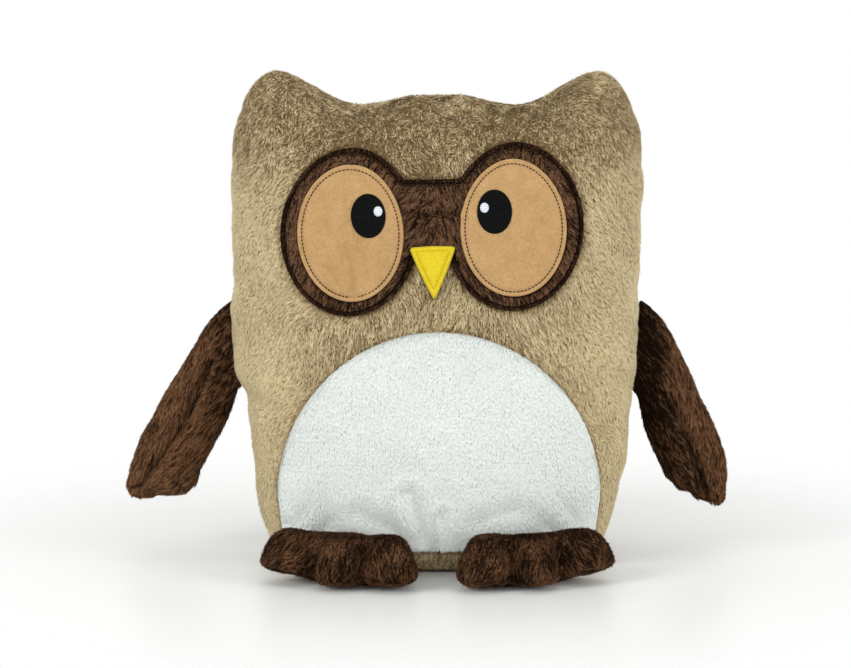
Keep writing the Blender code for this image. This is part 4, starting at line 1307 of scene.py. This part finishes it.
footShape = {
    "look": "brownKnitBacking",
    "slot": "brown_plush",
    "length": 50 * mm,
    "width": 83 * mm,
    "thickness": 28 * mm,
    "seamHeight": 7 * mm,
    "bead": 2.2 * mm,
    "toes": 3,
    "toeCells": 4,
    "toeReach": (0.96, 1.0, 0.74),
    "toeNotch": 0.2,
    "toeGroove": 0.22,
    "toeLift": (0.3, 0.25, 0.8),
    "outerRise": 5 * mm,  # the outer toe climbs by this much from here to its rim
    "outerStart": 0.33,
    "rows": (0, 0.16, 0.34, 0.56, 0.8, 1),
    "rowWidth": (0.56, 0.62, 0.76, 0.93, 1.0, 0.97),
    "rowTop": (0.1, 0.42, 0.86, 1, 0.82, 0),
    "rowSole": (0.3, 0.9, 1, 0.97, 0.7, 0),
    "pileRoom": (0.9, 0.9, 1.0),  # mm across, along and through the foot
    "held": (2, 1, 3 * mm, 12 * mm),
    "cloth": {"pressure": 3, "slack": 0.02, "frames": 16, "cap": 1.0},
    # the hollows between the toes, in mm across and forward
    "folds": [(3.2, 3.0, (-13, -36), (-14, -54)), (3.2, 3.0, (12.5, -34), (13, -54))],
}
footPile = {
    "look": "brownPlushPile", "slot": "brown_plush", "Seed": 51,
    "Density": 2.6, "Length": 2.7, "Width": 0.95, "Lean": 20, "Lean Spread": 10, "Turn Spread": 18,
    "Shade Spread": 0.16, "Streak": 0.5, "Streak Width": 1.1, "Softness": 0.45,
}


def buildFoot(side, word):
    shape, cage = footShape, bmesh.new()
    width, length, seam = shape["width"], shape["length"], shape["seamHeight"]
    columns, rows = shape["toes"] * shape["toeCells"], len(shape["rows"])
    for top in (True, False):

        def place(column, row):
            across = 2 * column / columns - 1
            if row == 0:
                return side * across * shape["rowWidth"][0] * width / 2, shape["bead"], 0
            share = shape["rows"][row - 1]
            spot = (across + 1) / 2 * shape["toes"]
            index = min(int(spot), shape["toes"] - 1)
            middle = 2 * (spot - index) - 1
            toe = math.sqrt(max(1 - middle * middle, 0))
            lobe = shape["toeReach"][index] * (1 - shape["toeNotch"] * (1 - toe))
            forward = share * length * (1 + (lobe - 1) * share)
            x = across * shape["rowWidth"][row - 1] * width / 2
            groove = 1 - shape["toeGroove"] * (1 - toe) * share
            above = shape["rowTop"][row - 1] * (shape["thickness"] - seam) * groove
            below = shape["rowSole"][row - 1] * (seam + 0.5 * mm)
            below *= 1 - shape["toeLift"][index] * toe * share
            z = 0 if column in (0, columns) else (above if top else -below)
            climb = max(across - shape["outerStart"], 0) / (1 - shape["outerStart"])
            return side * x, -forward, z + shape["outerRise"] * climb * share

        placeGrid(cage, columns, rows, place)
    box = ((-width / 2, width / 2), (-length, 0), (-seam - 0.5 * mm, shape["thickness"] - seam))
    mesh = sewBag("footSkin." + word, cage, 2, box, shape)
    points = readPoints(mesh)
    pushOut(mesh, points, noiseAt(points, 13 * mm, 20 + side) * 0.9 * mm)
    normals = readNormals(mesh)
    facing = np.maximum(smoothStep(-0.2, 0.3, normals[:, 2]), smoothStep(0.2, 0.6, -normals[:, 1]))
    pressFolds(mesh, np.stack([points[:, 0] * side, points[:, 1]], 1), facing, shape["folds"])
    points = readPoints(mesh)
    x, y, z = points.T
    forward = np.clip(-y / length, 0, 1)
    comb = np.stack([x / (width / 2) * 0.7 - 0.25, -np.ones(len(x)), -1.2 * forward**2], 1)
    comb += swirlAt(points, 14 * mm, 22 + side) * 0.6
    shade = 0.27 + noiseAt(points, 10 * mm, 24 + side) * 0.3
    # painted shade darkens the seam round the toes, where its groove lies in shadow; the sole below it is paler,
    # and its pile runs along the seam
    toes = smoothStep(0.5, 0.8, forward)
    under = smoothStep(0, 2.5 * mm, -z) * toes
    shade += 0.16 * under - 0.2 * bell(z, 1.3 * mm) * toes
    comb = comb * (1 - under)[:, None] + np.array((side, -0.3, 0)) * under[:, None]
    place = hingeFrame("foot_" + word)
    mesh.transform(place)
    share = smoothStep(1.5 * mm, 3.5 * mm, readPoints(mesh)[:, 2])
    restOn(mesh, 0.4 * mm)
    brushSkin(mesh, comb @ np.array(place.to_3x3()).T, shade, share)
    return mesh


for side, word in sides:
    footSkin, body = buildFoot(side, word), "foot_" + word
    growPile("footPile." + word, footSkin, footPile | {"Seed": footPile["Seed"] + side}, body=body)
    nodes = [body + "_top_panel", body + "_sole_panel"]
    addPiece("footSkin." + word, footSkin, footShape, body, nodes)
print("feet sewn")

# The filling: loose fibre inside each bag, lumpier than its solid

filling = {"look": "fibreFilling", "slot": "filling", "inward": 2.4, "lumps": 0.5}


def fillBag(node, body):
    shell = bmesh.new()
    shell.from_mesh(frame["nodes"][node].data)
    bmesh.ops.remove_doubles(shell, verts=shell.verts, dist=0.01 * mm)
    mesh = asMesh(node, shell)
    points = readPoints(mesh)
    # the skins' creases press deeper than their panels are thick, so the fibre keeps clear of them
    pushOut(mesh, points, -(filling["inward"] + filling["lumps"] * noiseAt(points, 9 * mm, 30)) * mm)
    label = node.replace("_stuffing", "Filling").replace("_left", ".left").replace("_right", ".right")
    addPiece(label, mesh, filling, body, [node])


for body, nodes in frame["record"]["behaviour"]["bodies"].items():
    for node in nodes:
        if node.endswith("stuffing"):
            fillBag(node, body)
for item in aside:
    bpy.data.objects.remove(item, do_unlink=True)
print("filled")

# The studio: pale floor that fades into the white background, soft boxes left and right, camera

studio = {
    "floorColour": "#F4F5F2",
    "fadeFrom": 0.12,
    "fadeTo": 0.36,
    "worldLight": 0.55,
    "lampTarget": (0, 0, 0.12),
    # where each lamp stands in metres, its size in metres and its watts
    "lamps": {
        "keyBox": ((-1.5, -1.3, 0.9), 0.9, 22),
        "rightBox": ((1.6, -0.9, 0.6), 0.9, 16),
        "frontFill": ((0.1, -2.3, 0.3), 1.2, 9),
        "topBox": ((0, 0.2, 1.6), 1.2, 4),
        "backFill": ((-0.4, 1.9, 1.5), 1.2, 3),
    },
    "camera": {"distance": 2.6, "tip": 9 * degree, "target": (-0.0060, 0, 0.11754), "sensor": 36},
    "pictureWidth": 851 * 0.522 * mm,  # pixels by the size of one at the owl
}


def makeFloor():
    cage = bmesh.new()
    bmesh.ops.create_grid(cage, x_segments=8, y_segments=8, size=3)
    mesh = asMesh("floor", cage)
    # lacquered studio floor: even, with a blurred reflection near the feet
    values = {"Base Color": hexColour(studio["floorColour"]), "Roughness": 0.35, "Specular IOR Level": 0.3}
    material, tree, shader = newMaterial("lacqueredStudioFloor", values)
    place = addNode(tree, "ShaderNodeTexCoord").outputs["Object"]
    reach = addNode(tree, "ShaderNodeVectorMath", [place], operation="LENGTH").outputs["Value"]
    span = {"Value": reach, "From Min": studio["fadeFrom"], "From Max": studio["fadeTo"]}
    fade = addNode(tree, "ShaderNodeMapRange", span, interpolation_type="SMOOTHSTEP")
    mix = addNode(tree, "ShaderNodeMixShader", (fade, shader, addNode(tree, "ShaderNodeBsdfTransparent")))
    tree.links.new(mix.outputs[0], tree.nodes["Material Output"].inputs[0])
    mesh.materials.append(material)
    linked("floor", mesh)


def makeWorld():
    scene.world = bpy.data.worlds.new("studioWorld")
    scene.world.use_nodes = True
    tree = scene.world.node_tree
    light = tree.nodes["Background"]
    light.inputs[0].default_value = (1, 1, 1, 1)
    light.inputs[1].default_value = studio["worldLight"]
    white = addNode(tree, "ShaderNodeBackground", ((1, 1, 1, 1), 1))
    path = addNode(tree, "ShaderNodeLightPath")
    seen = path.outputs["Is Camera Ray"]
    for name in ("Is Glossy Ray", "Is Transmission Ray"):
        seen = addNode(tree, "ShaderNodeMath", (seen, path.outputs[name]), operation="MAXIMUM")
    mix = addNode(tree, "ShaderNodeMixShader", (seen, light, white))
    tree.links.new(mix.outputs[0], tree.nodes["World Output"].inputs[0])


def makeLamps():
    for name, (spot, size, watts) in studio["lamps"].items():
        data = bpy.data.lights.new(name, "AREA")
        data.shape, data.size, data.energy = "SQUARE", size, watts
        item = linked(name, data)
        item.location = spot
        heading = Vector(studio["lampTarget"]) - item.location
        item.rotation_euler = heading.to_track_quat("-Z", "Y").to_euler()


def makeCamera():
    view = studio["camera"]
    data = bpy.data.cameras.new("camera")
    data.sensor_width = view["sensor"]
    data.lens = view["sensor"] * view["distance"] / studio["pictureWidth"]
    data.clip_start, data.clip_end = 0.1, 20
    camera = linked("camera", data)
    away = Vector((0, -math.cos(view["tip"]), math.sin(view["tip"])))
    camera.location = Vector(view["target"]) + away * view["distance"]
    camera.rotation_euler = (math.pi / 2 - view["tip"], 0, 0)
    scene.camera = camera


makeFloor()
makeWorld()
makeLamps()
makeCamera()
scene.view_settings.view_transform = "Standard"
print("studio lit")
